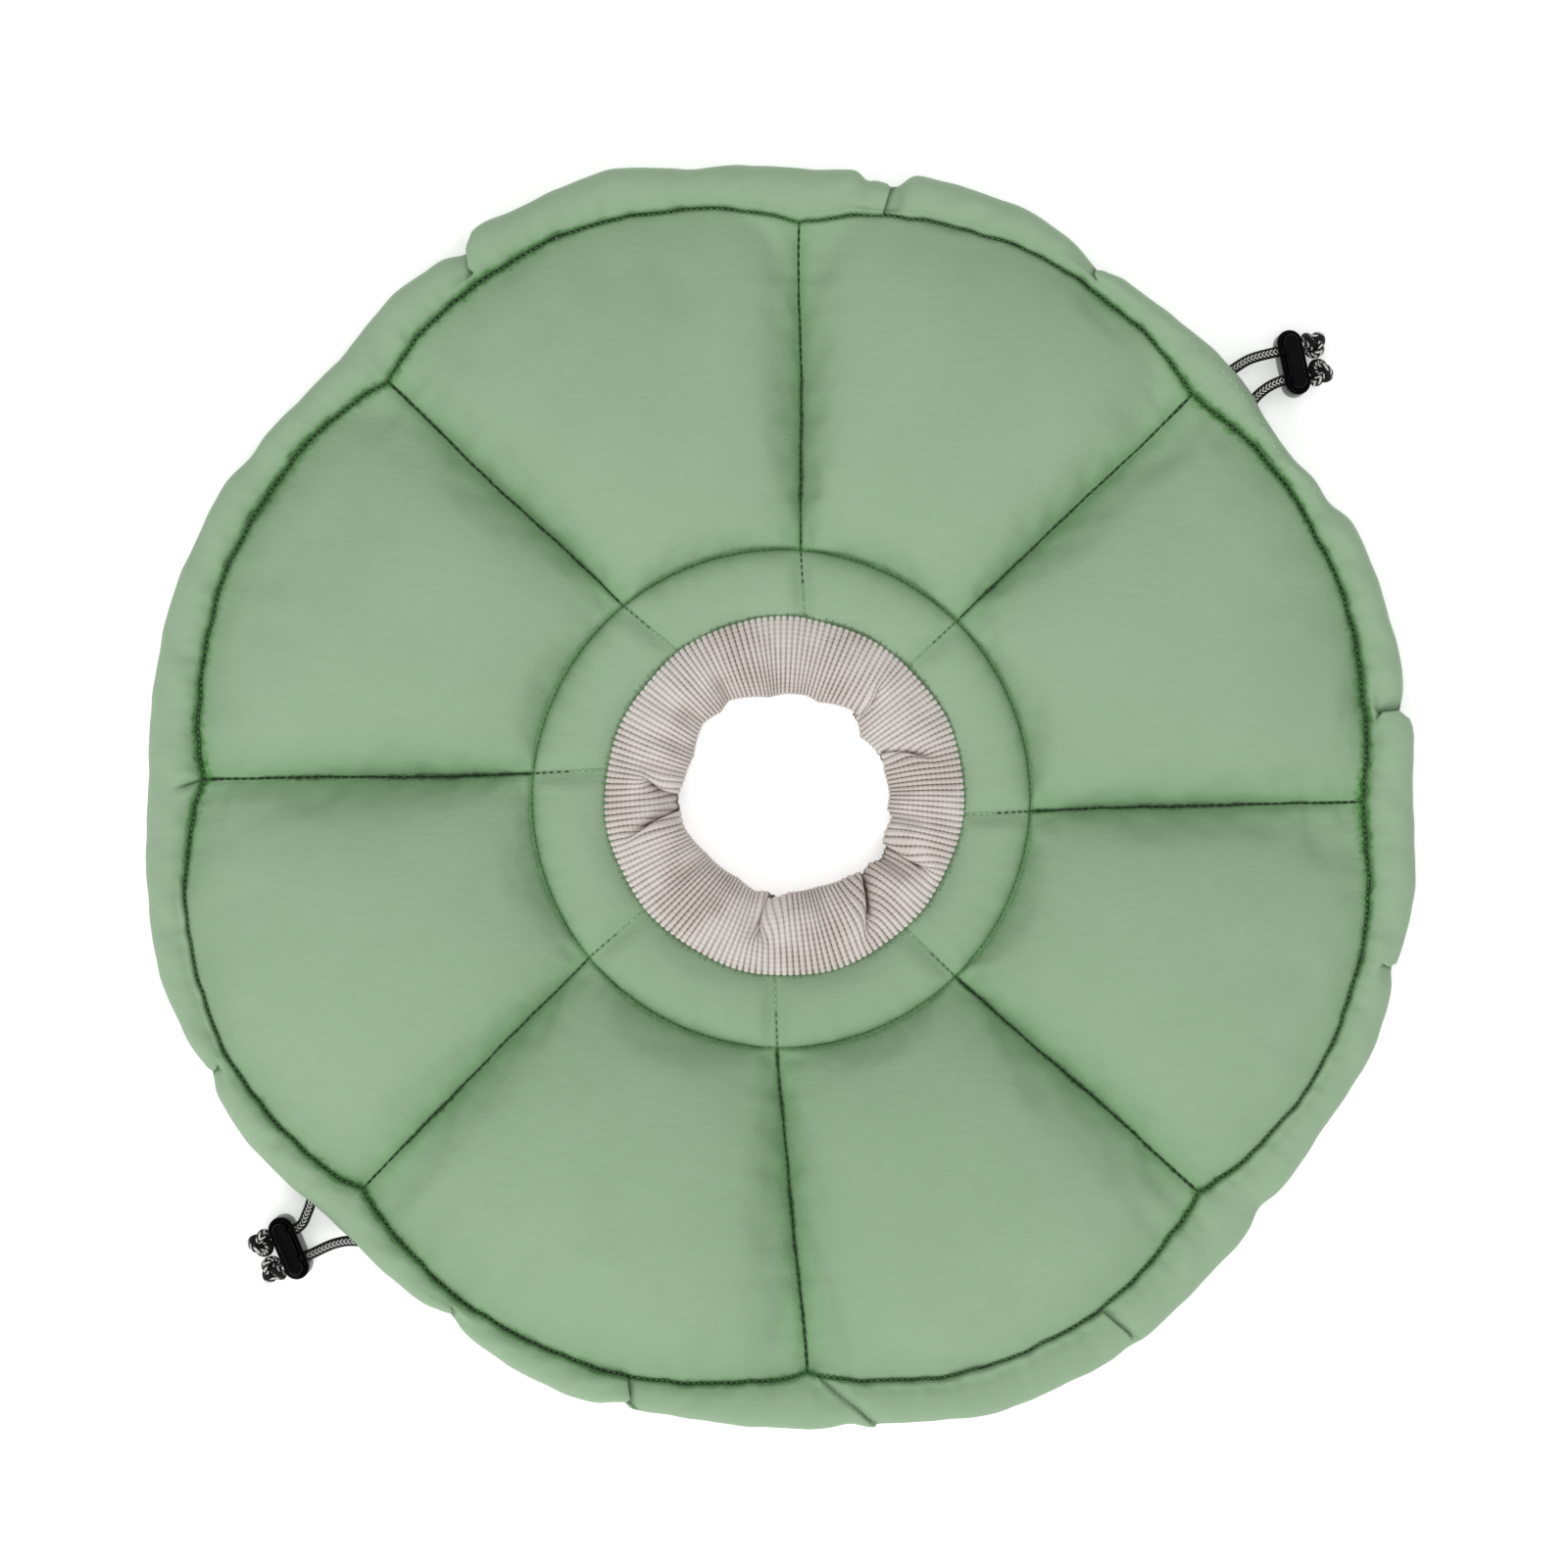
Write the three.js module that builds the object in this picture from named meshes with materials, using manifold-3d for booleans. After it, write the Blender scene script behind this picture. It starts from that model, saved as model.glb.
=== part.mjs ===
// Cat recovery collar: a soft padded disc that is worn round the neck in place of a hard cone.
// Eight quilted wedges and an inner band make the brim, a folded rib-knit cuff holds the neck, and a padded
// casing round the outside carries two drawcords, each pair of ends held by a spring cord lock and stopped
// by knots. Millimetres, +Z up. The collar lies flat on z = 0 with its middle over the origin.
// Bearings are degrees about the middle, anticlockwise from +X.

import * as THREE from 'three';
import { mergeVertices } from 'three/addons/utils/BufferGeometryUtils.js';
import Module from 'manifold-3d';

// Driving sizes of the padded disc
const OUTER_DIAMETER = 310;
const RING_SEAM_DIAMETER = 121.5;
const PETAL_CROWN = 22;
const PETAL_SAG = 9;
const BAND_CROWN = 14;
const BAND_SAG = 5;
const STITCHED_THICKNESS = 1.8;
const RIM_SEAM_HEIGHT = 6.5;
const RING_SEAM_HEIGHT = 7.5;
const NECK_SEAM_HEIGHT = 8.5;
const SEWING_GAP = 0.3;

// How the padding fills out: the bluntness of the rim seam's scallops, how round and how soft the panels'
// sections are, and how far a petal's crown leans towards the neck.
const SCALLOP_BLUNTNESS = 0.8;
const PETAL_ROUNDNESS = 2.2;
const PETAL_SOFTNESS = 0.7;
const PETAL_LEAN = 0.85;
const BAND_ROUNDNESS = 6;
const ROLL_SOFTNESS = 0.5;

// Driving sizes of the neck
const NECK_SEAM_DIAMETER = 86;
const NECK_OPENING_DIAMETER = 50.5;
const NECK_CENTRE = new THREE.Vector2(0.8, 0.6);
const CUFF_EDGE_HEIGHT = 6;
const CUFF_THICKNESS = 11;
const KNIT_THICKNESS = 1.8;
const CUFF_SLIT = 0.8;
const CUFF_LOBE_REACH = 0.94;
const CUFF_DEEPEST_GATHER = 0.7;

// Driving sizes of the rim casing
const CASING_THICKNESS = 11.6;
const CASING_SEAM_THICKNESS = 2.2;
const CASING_LEAST_TURN = 0.4;

// Driving sizes of the drawcords, cord locks and knots
const CORD_DIAMETER = 2.6;
const CORD_SIDES = 8;
const CORD_STEPS_A_POINT = 1.6;
const CHANNEL_SIDES = 6;
const CORD_CLEARANCE = 0.9;
const CORD_STRAIGHT = 0.6;
const LOCK_LENGTH = 16;
const LOCK_WIDTH = 6.2;
const LOCK_HEIGHT = 10.6;
const LOCK_WALL = 1.05;
const LOCK_FLOOR = 1.2;
const LOCK_LIFT = 0.1;
const LOCK_HOLE_SPACING = 7.2;
const LOCK_HOLE_CLEARANCE = 0.35;
const PLUNGER_STANDING = 3;
const PLUNGER_TRAVEL = 2;
const PLUNGER_FOOT = 1.3;
const RUNNING_CLEARANCE = 0.3;
const KNOT_WIDTH = 4.9;
const KNOT_LENGTH = 6.6;
const KNOT_WRAP_THICKNESS = 2.2;
const KNOT_TWIST = 0.6;

const OUTER_RADIUS = OUTER_DIAMETER / 2;
const RING_RADIUS = RING_SEAM_DIAMETER / 2;
const NECK_RADIUS = NECK_SEAM_DIAMETER / 2;
const OPENING_RADIUS = NECK_OPENING_DIAMETER / 2;
const CORD_RADIUS = CORD_DIAMETER / 2;

// The radial seams. rim, ring and neck are the seam's bearings where it meets the rim seam, the ring seam
// and the neck seam. end is the reach of its rim end and swell the rim seam's reach midway to the next seam,
// both as shares of the outer radius.
const SEAMS = [
  { rim: -0.3, ring: -2.9, neck: -6.1, end: 0.915, swell: 0.941 },
  { rim: 44.5, ring: 45.3, neck: 46.5, end: 0.908, swell: 0.945 },
  { rim: 88.2, ring: 85.5, neck: 83.3, end: 0.908, swell: 0.951 },
  { rim: 133.3, ring: 129.3, neck: 126.1, end: 0.904, swell: 0.944 },
  { rim: 178.1, ring: 174.2, neck: 171.2, end: 0.911, swell: 0.962 },
  { rim: 223.0, ring: 219.6, neck: 219.0, end: 0.902, swell: 0.943 },
  { rim: 272.6, ring: 269.1, neck: 266.9, end: 0.904, swell: 0.952 },
  { rim: 316.7, ring: 314.4, neck: 312.4, end: 0.902, swell: 0.949 },
];

// The casing's outer edge: its reach at a bearing, as a share of the outer radius.
const CASING_EDGE = [
  { at: 0, edge: 0.996 }, { at: 14, edge: 1.003 }, { at: 26, edge: 1.001 }, { at: 35, edge: 0.968 },
  { at: 43, edge: 0.982 }, { at: 57, edge: 0.981 }, { at: 68, edge: 1.005 }, { at: 76, edge: 1.009 },
  { at: 88, edge: 0.994 }, { at: 97, edge: 1.004 }, { at: 106, edge: 1.028 }, { at: 116, edge: 1.018 },
  { at: 126, edge: 1.003 }, { at: 136, edge: 0.982 }, { at: 152, edge: 1.008 }, { at: 162, edge: 1.012 },
  { at: 177, edge: 0.999 }, { at: 196, edge: 1.017 }, { at: 210, edge: 1.004 }, { at: 224, edge: 0.973 },
  { at: 235, edge: 0.975 }, { at: 250, edge: 1.0 }, { at: 260, edge: 0.988 }, { at: 278, edge: 0.999 },
  { at: 291, edge: 1.028 }, { at: 303, edge: 1.026 }, { at: 315, edge: 1.008 }, { at: 325, edge: 1.0 },
  { at: 338, edge: 1.014 }, { at: 351, edge: 1.01 },
];

// Buckles and pinches of the casing: half-width in degrees, dent of the edge as a share of the outer radius,
// and pinch as the share of the casing's thickness that is lost.
const CASING_FOLDS = [
  { at: 8.5, width: 1.5, dent: 0.016, pinch: 0.4 },
  { at: 28.5, width: 1.8, dent: 0.012, pinch: 0.2 },
  { at: 58.7, width: 1.6, dent: 0.01, pinch: 0.3 },
  { at: 80.4, width: 1.5, dent: 0.03, pinch: 0.5 },
  { at: 121.2, width: 1.6, dent: 0.026, pinch: 0.45 },
  { at: 147.6, width: 1.8, dent: 0.008, pinch: 0.15 },
  { at: 205.3, width: 1.6, dent: 0.01, pinch: 0.2 },
  { at: 237.0, width: 1.6, dent: 0.01, pinch: 0.2 },
  { at: 255.6, width: 1.5, dent: 0.018, pinch: 0.4 },
  { at: 276.8, width: 1.6, dent: 0.008, pinch: 0.35 },
  { at: 302.7, width: 1.6, dent: 0.006, pinch: 0.25 },
  { at: 319.6, width: 1.8, dent: 0.012, pinch: 0.2 },
  { at: 344.2, width: 1.5, dent: 0.018, pinch: 0.35 },
];

// Gathers of the cuff: half-width in degrees, notch of the neck opening as a share of its radius, and depth
// as the share of the cuff's thickness that the gather takes. run is how far it runs towards the neck seam.
const CUFF_FOLDS = [
  { at: 20, width: 5, notch: 0.1, depth: 0.35, run: 0.7 },
  { at: 47, width: 5, notch: 0.16, depth: 0.4, run: 0.6 },
  { at: 77, width: 6, notch: 0.06, depth: 0.2, run: 0.4 },
  { at: 120, width: 6, notch: 0.14, depth: 0.25, run: 0.5 },
  { at: 138, width: 5, notch: 0.13, depth: 0.35, run: 0.6 },
  { at: 180, width: 5, notch: 0.1, depth: 0.5, run: 0.6 },
  { at: 197, width: 5, notch: 0.11, depth: 0.4, run: 0.8 },
  { at: 219, width: 5, notch: 0.05, depth: 0.4, run: 0.7 },
  { at: 265, width: 4, notch: 0.14, depth: 0.6, run: 0.7 },
  { at: 300, width: 5, notch: 0.08, depth: 0.2, run: 0.4 },
  { at: 314, width: 4, notch: 0.13, depth: 0.5, run: 0.9 },
  { at: 326, width: 4, notch: 0.2, depth: 0.45, run: 0.6 },
  { at: 344, width: 5, notch: 0.11, depth: 0.35, run: 0.8 },
  { at: 358, width: 5, notch: 0.08, depth: 0.2, run: 0.4 },
];

// Section of the cuff from the neck seam to its inner edge. across is the share of the way, and full the
// share of the greatest thickness.
const CUFF_SECTION = [
  { across: 0, full: 0.4 }, { across: 0.24, full: 0.72 }, { across: 0.54, full: 0.98 },
  { across: 0.78, full: 0.95 }, { across: 0.92, full: 0.66 }, { across: 0.985, full: 0.3 },
];

// Section of the hollow inside the cuff's fold, in the same shares.
const CUFF_HOLLOW = [0, 0.2, 0.5, 0.76];

// Where the two cord locks stand: bearing of the place on the rim, how far out from the outer radius the
// lock is, and how far its cord holes are turned from pointing straight out.
const LOCKS = {
  ne: { bearing: 40.4, out: 9.2, turn: -28.2 },
  sw: { bearing: 222.4, out: 7.6, turn: -19.2 },
};

// The drawcords' routes. A lead runs from its lock into the casing, with each point's distance out from the
// outer radius and along the rim at the lock's bearing. side is the lock's hole that it passes through. run
// is the way through the casing, with each point's bearing and its reach as a share of the outer radius.
const CORDS = [
  {
    name: 'drawcord_upper',
    start: { lock: 'ne', side: 1, lead: [[1.8, 7.6], [-4.2, 8.6], [-8.1, 10.2], [-9.7, 14.1], [-9.4, 20]] },
    run: [[58, 0.958], [69, 0.968], [81, 0.955], [93, 0.963], [105, 0.978], [116, 0.976], [127, 0.954],
      [139, 0.952], [150, 0.973], [163, 0.97], [178, 0.96], [190, 0.978], [201, 0.982], [210, 0.962]],
    finish: { lock: 'sw', side: -1, lead: [[-1, -3.3], [-4.8, -5.7], [-7.2, -9.6], [-7.8, -13.9]] },
  },
  {
    name: 'drawcord_lower',
    start: { lock: 'ne', side: -1, lead: [[-0.8, -0.4], [-4.8, -1.2], [-7.2, -4.6], [-8, -9.5]] },
    run: [[26, 0.964], [13, 0.963], [0, 0.958], [-11, 0.971], [-22, 0.978], [-32, 0.968], [-43, 0.954],
      [-54, 0.974], [-65, 0.982], [-77, 0.966], [-89, 0.955], [-102, 0.96], [-114, 0.966], [-124, 0.956]],
    finish: { lock: 'sw', side: 1, lead: [[-0.7, 6.6], [-4.8, 9.3], [-7.6, 13.4], [-8.7, 19.5]] },
  },
];

const wasm = await Module();
wasm.setup();

const fabric = new THREE.MeshStandardMaterial({ color: 0x98b195, roughness: 0.85, metalness: 0 });
const knit = new THREE.MeshStandardMaterial({ color: 0xd9d0c8, roughness: 0.95, metalness: 0 });
const braid = new THREE.MeshStandardMaterial({ color: 0x26262a, roughness: 0.8, metalness: 0 });
const plastic = new THREE.MeshStandardMaterial({ color: 0x101011, roughness: 0.3, metalness: 0 });

const collar = new THREE.Group();

// Adds a named piece to the collar, or to the group that carries it.
function addPiece(name, geometry, material, parent = collar) {
  const piece = new THREE.Mesh(geometry, material);
  piece.name = name;
  parent.add(piece);
  return piece;
}

const MERGE_DISTANCE = 1e-4;

// Turns a geometry into a solid that can be cut and joined.
function toSolid(geometry) {
  const bare = geometry.clone();
  bare.deleteAttribute('normal');
  bare.deleteAttribute('uv');
  const merged = mergeVertices(bare, MERGE_DISTANCE);
  return new wasm.Manifold(new wasm.Mesh({
    numProp: 3,
    vertProperties: new Float32Array(merged.attributes.position.array),
    triVerts: new Uint32Array(merged.index.array),
  }));
}

// Turns a solid back into a geometry.
function toGeometry(solid) {
  const mesh = solid.getMesh();
  const geometry = new THREE.BufferGeometry();
  geometry.setAttribute('position', new THREE.BufferAttribute(mesh.vertProperties, 3));
  geometry.setIndex(new THREE.BufferAttribute(mesh.triVerts, 1));
  geometry.computeVertexNormals();
  return geometry;
}

// Skins a ring whose sections are closed loops of points. The loops follow each other anticlockwise, and
// each goes from the middle outwards along its top and back along its underside.
function ringGeometry(loops) {
  const size = loops[0].length;
  const positions = loops.flat().flatMap((point) => point.toArray());
  const indices = [];
  loops.forEach((loop, i) => {
    const here = i * size;
    const next = ((i + 1) % loops.length) * size;
    loop.forEach((point, j) => {
      const k = (j + 1) % size;
      indices.push(here + j, here + k, next + k, here + j, next + k, next + j);
    });
  });
  const geometry = new THREE.BufferGeometry();
  geometry.setAttribute('position', new THREE.Float32BufferAttribute(positions, 3));
  geometry.setIndex(indices);
  geometry.computeVertexNormals();
  return geometry;
}

const lerp = THREE.MathUtils.lerp;
const toRadians = THREE.MathUtils.degToRad;

// A point in the plane of the disc, at a bearing and reach from a centre.
function onDisc(bearing, reach, centre = new THREE.Vector2()) {
  const angle = toRadians(bearing);
  return new THREE.Vector2(centre.x + reach * Math.cos(angle), centre.y + reach * Math.sin(angle));
}

// The smallest turn from one bearing to another, from -180 to 180.
function turnBetween(from, to) {
  return THREE.MathUtils.euclideanModulo(to - from + 180, 360) - 180;
}

// The eased value of a table's column at a bearing, between the rows on either side.
function readTable(rows, column, bearing) {
  const wrapped = THREE.MathUtils.euclideanModulo(bearing - rows[0].at, 360) + rows[0].at;
  let index = rows.length - 1;
  while (rows[index].at > wrapped) {
    index -= 1;
  }
  const row = rows[index];
  const next = rows[(index + 1) % rows.length];
  const span = THREE.MathUtils.euclideanModulo(next.at - row.at, 360);
  const share = THREE.MathUtils.smoothstep((wrapped - row.at) / span, 0, 1);
  return lerp(row[column], next[column], share);
}

// The sum over a table's folds of one column, each fading with the distance from its fold.
function sumFolds(folds, column, bearing) {
  return folds.reduce((sum, fold) => {
    const distance = turnBetween(fold.at, bearing) / fold.width;
    return sum + fold[column] * Math.exp(-distance * distance);
  }, 0);
}

// The wedge that a rim bearing lies in, and the share of the way across it.
function wedgeAt(bearing) {
  const wrapped = THREE.MathUtils.euclideanModulo(bearing - SEAMS[0].rim, 360) + SEAMS[0].rim;
  let index = SEAMS.length - 1;
  while (SEAMS[index].rim > wrapped) {
    index -= 1;
  }
  const span = turnBetween(SEAMS[index].rim, SEAMS[(index + 1) % SEAMS.length].rim);
  return { index, share: (wrapped - SEAMS[index].rim) / span };
}

// The rim seam's reach, a scallop in each wedge.
function rimSeamReach(index, share) {
  const seam = SEAMS[index];
  const next = SEAMS[(index + 1) % SEAMS.length];
  const base = lerp(seam.end, next.end, share);
  const bow = Math.max(0, Math.sin(Math.PI * share)) ** SCALLOP_BLUNTNESS;
  return OUTER_RADIUS * (base + (seam.swell - base) * bow);
}

// The bearing of one of a wedge's grid lines at the rim, ring or neck.
function lineBearing(index, share, column) {
  const from = SEAMS[index][column];
  return from + turnBetween(from, SEAMS[(index + 1) % SEAMS.length][column]) * share;
}

// How full a padded panel is at a share of the way across it, from 0 at its seams to 1 in the middle.
function fullness(share, roundness = PETAL_ROUNDNESS, softness = PETAL_SOFTNESS) {
  return (1 - Math.abs(2 * share - 1) ** roundness) ** softness;
}

// The underside of a padded panel, pressed flat where it meets the surface it rests on.
function restingHeight(height) {
  return Math.max(0, height);
}

// Shares of a wedge's width at which the brim has a grid line.
const WEDGE_LINES = [0, 0.05, 0.16, 0.34, 0.5, 0.66, 0.84, 0.95];

// Shares of the way from the neck seam to the ring seam, and from there to the rim seam.
const BAND_STEPS = [0, 0.2, 0.5, 0.8];
const PETAL_STEPS = [0, 0.05, 0.16, 0.36, 0.6, 0.8, 0.94, 1];

// The brim: eight quilted petals and the band of eight small pads inside them, one stitched-through solid.
function makeBrim() {
  const loops = SEAMS.flatMap((seam, index) => WEDGE_LINES.map((share) => {
    const neckBearing = lineBearing(index, share, 'neck');
    const atNeck = onDisc(neckBearing, NECK_RADIUS + SEWING_GAP / 2, NECK_CENTRE);
    const atRing = onDisc(lineBearing(index, share, 'ring'), RING_RADIUS);
    const rimReach = rimSeamReach(index, share) - SEWING_GAP / 2;
    const atRim = onDisc(lineBearing(index, share, 'rim'), rimReach);
    const top = [];
    const bottom = [];
    const addStation = (place, seamHeight, full, crown, sag) => {
      const halfSeam = STITCHED_THICKNESS / 2;
      const rise = (crown - seamHeight - halfSeam) * full;
      top.push(new THREE.Vector3(place.x, place.y, seamHeight + halfSeam + rise));
      const low = restingHeight(seamHeight - halfSeam - sag * full);
      bottom.unshift(new THREE.Vector3(place.x, place.y, low));
    };
    BAND_STEPS.forEach((step) => {
      const height = lerp(NECK_SEAM_HEIGHT, RING_SEAM_HEIGHT, step);
      const full = fullness(share, BAND_ROUNDNESS, ROLL_SOFTNESS) * fullness(step);
      addStation(atNeck.clone().lerp(atRing, step), height, full, BAND_CROWN, BAND_SAG);
    });
    PETAL_STEPS.forEach((step) => {
      const height = lerp(RING_SEAM_HEIGHT, RIM_SEAM_HEIGHT, step);
      const full = fullness(share) * fullness(step ** PETAL_LEAN);
      addStation(atRing.clone().lerp(atRim, step), height, full, PETAL_CROWN, PETAL_SAG);
    });
    return [...top, ...bottom];
  }));
  return ringGeometry(loops);
}

// Bearings at which the casing has a section: the brim's grid lines, and three for each fold.
function casingBearings() {
  const lines = SEAMS.flatMap((seam, index) => (
    WEDGE_LINES.map((share) => lineBearing(index, share, 'rim'))
  ));
  const folds = CASING_FOLDS.flatMap((fold) => [fold.at - fold.width, fold.at, fold.at + fold.width]);
  return [...lines, ...folds]
    .map((bearing) => THREE.MathUtils.euclideanModulo(bearing, 360))
    .sort((a, b) => a - b)
    .filter((bearing, i, all) => lines.some((line) => Math.abs(turnBetween(line, bearing)) < 1e-9)
      || (Math.abs(turnBetween(all[(i + 1) % all.length], bearing)) > CASING_LEAST_TURN
        && Math.abs(turnBetween(all.at(i - 1), bearing)) > CASING_LEAST_TURN));
}

// Section of the casing from the rim seam to its outer edge, in shares of its width.
const CASING_STEPS = [0, 0.14, 0.38, 0.66, 0.9];

// The casing: a padded roll round the outside, buckled where the drawcords gather it.
function makeCasing() {
  const loops = casingBearings().map((bearing) => {
    const wedge = wedgeAt(bearing);
    const inner = rimSeamReach(wedge.index, wedge.share) + SEWING_GAP / 2;
    const dent = sumFolds(CASING_FOLDS, 'dent', bearing);
    const outer = OUTER_RADIUS * (readTable(CASING_EDGE, 'edge', bearing) - dent);
    const thickness = CASING_THICKNESS * (1 - sumFolds(CASING_FOLDS, 'pinch', bearing));
    const top = [];
    const bottom = [];
    CASING_STEPS.forEach((step) => {
      const place = onDisc(bearing, lerp(inner, outer, step));
      const full = fullness(step, PETAL_ROUNDNESS, ROLL_SOFTNESS);
      const half = Math.max(CASING_SEAM_THICKNESS, thickness * full) / 2;
      top.push(new THREE.Vector3(place.x, place.y, RIM_SEAM_HEIGHT + half));
      bottom.unshift(new THREE.Vector3(place.x, place.y, RIM_SEAM_HEIGHT - half));
    });
    const edge = onDisc(bearing, outer);
    return [...top, new THREE.Vector3(edge.x, edge.y, RIM_SEAM_HEIGHT), ...bottom];
  });
  return ringGeometry(loops);
}

const CUFF_SECTIONS = 60;

// The cuff: one tube of rib knit folded on itself, gathered towards the neck and open at the seam.
function makeCuff() {
  const loops = [];
  for (let i = 0; i < CUFF_SECTIONS; i += 1) {
    const bearing = (360 / CUFF_SECTIONS) * i;
    const outer = NECK_RADIUS - SEWING_GAP / 2;
    const inner = OPENING_RADIUS * (CUFF_LOBE_REACH + sumFolds(CUFF_FOLDS, 'notch', bearing));
    const section = (across, full, sign, trim) => {
      const gather = CUFF_FOLDS.reduce((sum, fold) => {
        const distance = turnBetween(fold.at, bearing) / fold.width;
        const reach = THREE.MathUtils.smoothstep(across, 1 - fold.run, 1);
        return sum + fold.depth * reach * Math.exp(-distance * distance);
      }, 0);
      const shallow = Math.min(gather, CUFF_DEEPEST_GATHER);
      const place = onDisc(bearing, lerp(outer, inner, across), NECK_CENTRE);
      const middle = lerp(NECK_SEAM_HEIGHT, CUFF_EDGE_HEIGHT, across);
      const half = Math.max(CUFF_SLIT / 2, (CUFF_THICKNESS / 2) * full * (1 - shallow) - trim);
      return new THREE.Vector3(place.x, place.y, restingHeight(middle + sign * half));
    };
    const skin = (sign) => CUFF_SECTION.map((row) => section(row.across, row.full, sign, 0));
    const tip = (across) => section(across, 0, 0, 0);
    const fullAt = (across) => {
      const after = CUFF_SECTION.findIndex((row) => row.across > across);
      const row = CUFF_SECTION[after - 1];
      const next = CUFF_SECTION[after];
      return lerp(row.full, next.full, (across - row.across) / (next.across - row.across));
    };
    const lining = (sign) => CUFF_HOLLOW.map((across) => (
      section(across, fullAt(across), sign, KNIT_THICKNESS)
    ));
    const hollowTip = 1 - KNIT_THICKNESS / (outer - inner);
    loops.push([
      ...skin(-1), tip(1), ...skin(1).reverse(),
      ...lining(1), tip(hollowTip), ...lining(-1).reverse(),
    ]);
  }
  return ringGeometry(loops);
}

// A point given by its distance out and along from a cord lock's place on the rim.
function byLock(lock, out, along) {
  const angle = toRadians(lock.bearing);
  const outward = new THREE.Vector2(Math.cos(angle), Math.sin(angle));
  const sideways = new THREE.Vector2(-outward.y, outward.x);
  return outward.multiplyScalar(OUTER_RADIUS + out).addScaledVector(sideways, along);
}

// The middle of a cord lock and the direction that its cord holes point in, away from the collar.
function lockFrame(lock) {
  const heading = toRadians(lock.bearing + lock.turn);
  return {
    middle: byLock(lock, lock.out, 0),
    heading,
    outward: new THREE.Vector2(Math.cos(heading), Math.sin(heading)),
    across: new THREE.Vector2(-Math.sin(heading), Math.cos(heading)),
  };
}

// A place in line with one of a lock's two holes, at a distance out from the lock's middle.
function inLineWithHole(lock, side, distance) {
  const frame = lockFrame(lock);
  return frame.middle.clone()
    .addScaledVector(frame.across, (side * LOCK_HOLE_SPACING) / 2)
    .addScaledVector(frame.outward, distance);
}

const LEAD_IN = LOCK_WIDTH / 2 + CORD_STRAIGHT;
const CORD_END = LOCK_WIDTH / 2 + RUNNING_CLEARANCE;

// A curve whose steps follow its points, so that a bend with close points gets close steps.
class CordRoute extends THREE.CatmullRomCurve3 {
  getUtoTmapping(u) {
    return u;
  }
}

// The route of a drawcord from one knot to the other, level at the height of the casing's middle.
function routeOf(cord) {
  const leadOf = ({ lock, side, lead }) => [
    inLineWithHole(LOCKS[lock], side, CORD_END),
    inLineWithHole(LOCKS[lock], side, -LEAD_IN),
    ...lead.map(([out, along]) => byLock(LOCKS[lock], out, along)),
  ];
  const points = [
    ...leadOf(cord.start),
    ...cord.run.map(([bearing, share]) => onDisc(bearing, share * OUTER_RADIUS)),
    ...leadOf(cord.finish).reverse(),
  ];
  return new CordRoute(points.map((point) => new THREE.Vector3(point.x, point.y, RIM_SEAM_HEIGHT)));
}

// A round rod along a cord's route.
function rodAlong(route, radius, sides) {
  const section = new THREE.Shape();
  for (let side = 0; side < sides; side += 1) {
    const angle = (2 * Math.PI * (side + 0.5)) / sides;
    const corner = [radius * Math.cos(angle), radius * Math.sin(angle)];
    if (side === 0) {
      section.moveTo(...corner);
    } else {
      section.lineTo(...corner);
    }
  }
  section.closePath();
  const steps = Math.round((route.points.length - 1) * CORD_STEPS_A_POINT);
  return new THREE.ExtrudeGeometry(section, { steps, extrudePath: route, bevelEnabled: false });
}

const ARC_STEPS = 4;

// A flat bar with round ends, lying along x and standing from z = 0.
function roundEndedBar(length, width, height) {
  const half = length / 2 - width / 2;
  const outline = new THREE.Shape();
  outline.absarc(half, 0, width / 2, -Math.PI / 2, Math.PI / 2, false);
  outline.absarc(-half, 0, width / 2, Math.PI / 2, (3 * Math.PI) / 2, false);
  outline.closePath();
  const options = { depth: height, bevelEnabled: false, curveSegments: ARC_STEPS };
  return new THREE.ExtrudeGeometry(outline, options);
}

// A hole through a lock's width at one of its two cord places, as tall as it is wide plus a slot's length.
function cordHole(side, diameter, height, slot) {
  const hole = roundEndedBar(diameter + slot, diameter, 2 * LOCK_WIDTH);
  hole.translate(slot / 2, 0, -LOCK_WIDTH);
  hole.rotateZ(Math.PI / 2);
  hole.rotateX(Math.PI / 2);
  hole.translate((side * LOCK_HOLE_SPACING) / 2, 0, height);
  return toSolid(hole);
}

const HOLE_DIAMETER = CORD_DIAMETER + 2 * LOCK_HOLE_CLEARANCE;
const HOLE_HEIGHT = RIM_SEAM_HEIGHT - LOCK_LIFT;

// The lock's housing: a round-ended cup with two cord holes through it.
function makeHousing() {
  const outside = toSolid(roundEndedBar(LOCK_LENGTH, LOCK_WIDTH, LOCK_HEIGHT));
  const hollow = roundEndedBar(LOCK_LENGTH - 2 * LOCK_WALL, LOCK_WIDTH - 2 * LOCK_WALL, LOCK_HEIGHT);
  hollow.translate(0, 0, LOCK_FLOOR);
  return toGeometry(outside
    .subtract(toSolid(hollow))
    .subtract(cordHole(1, HOLE_DIAMETER, HOLE_HEIGHT, 0))
    .subtract(cordHole(-1, HOLE_DIAMETER, HOLE_HEIGHT, 0)));
}

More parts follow.
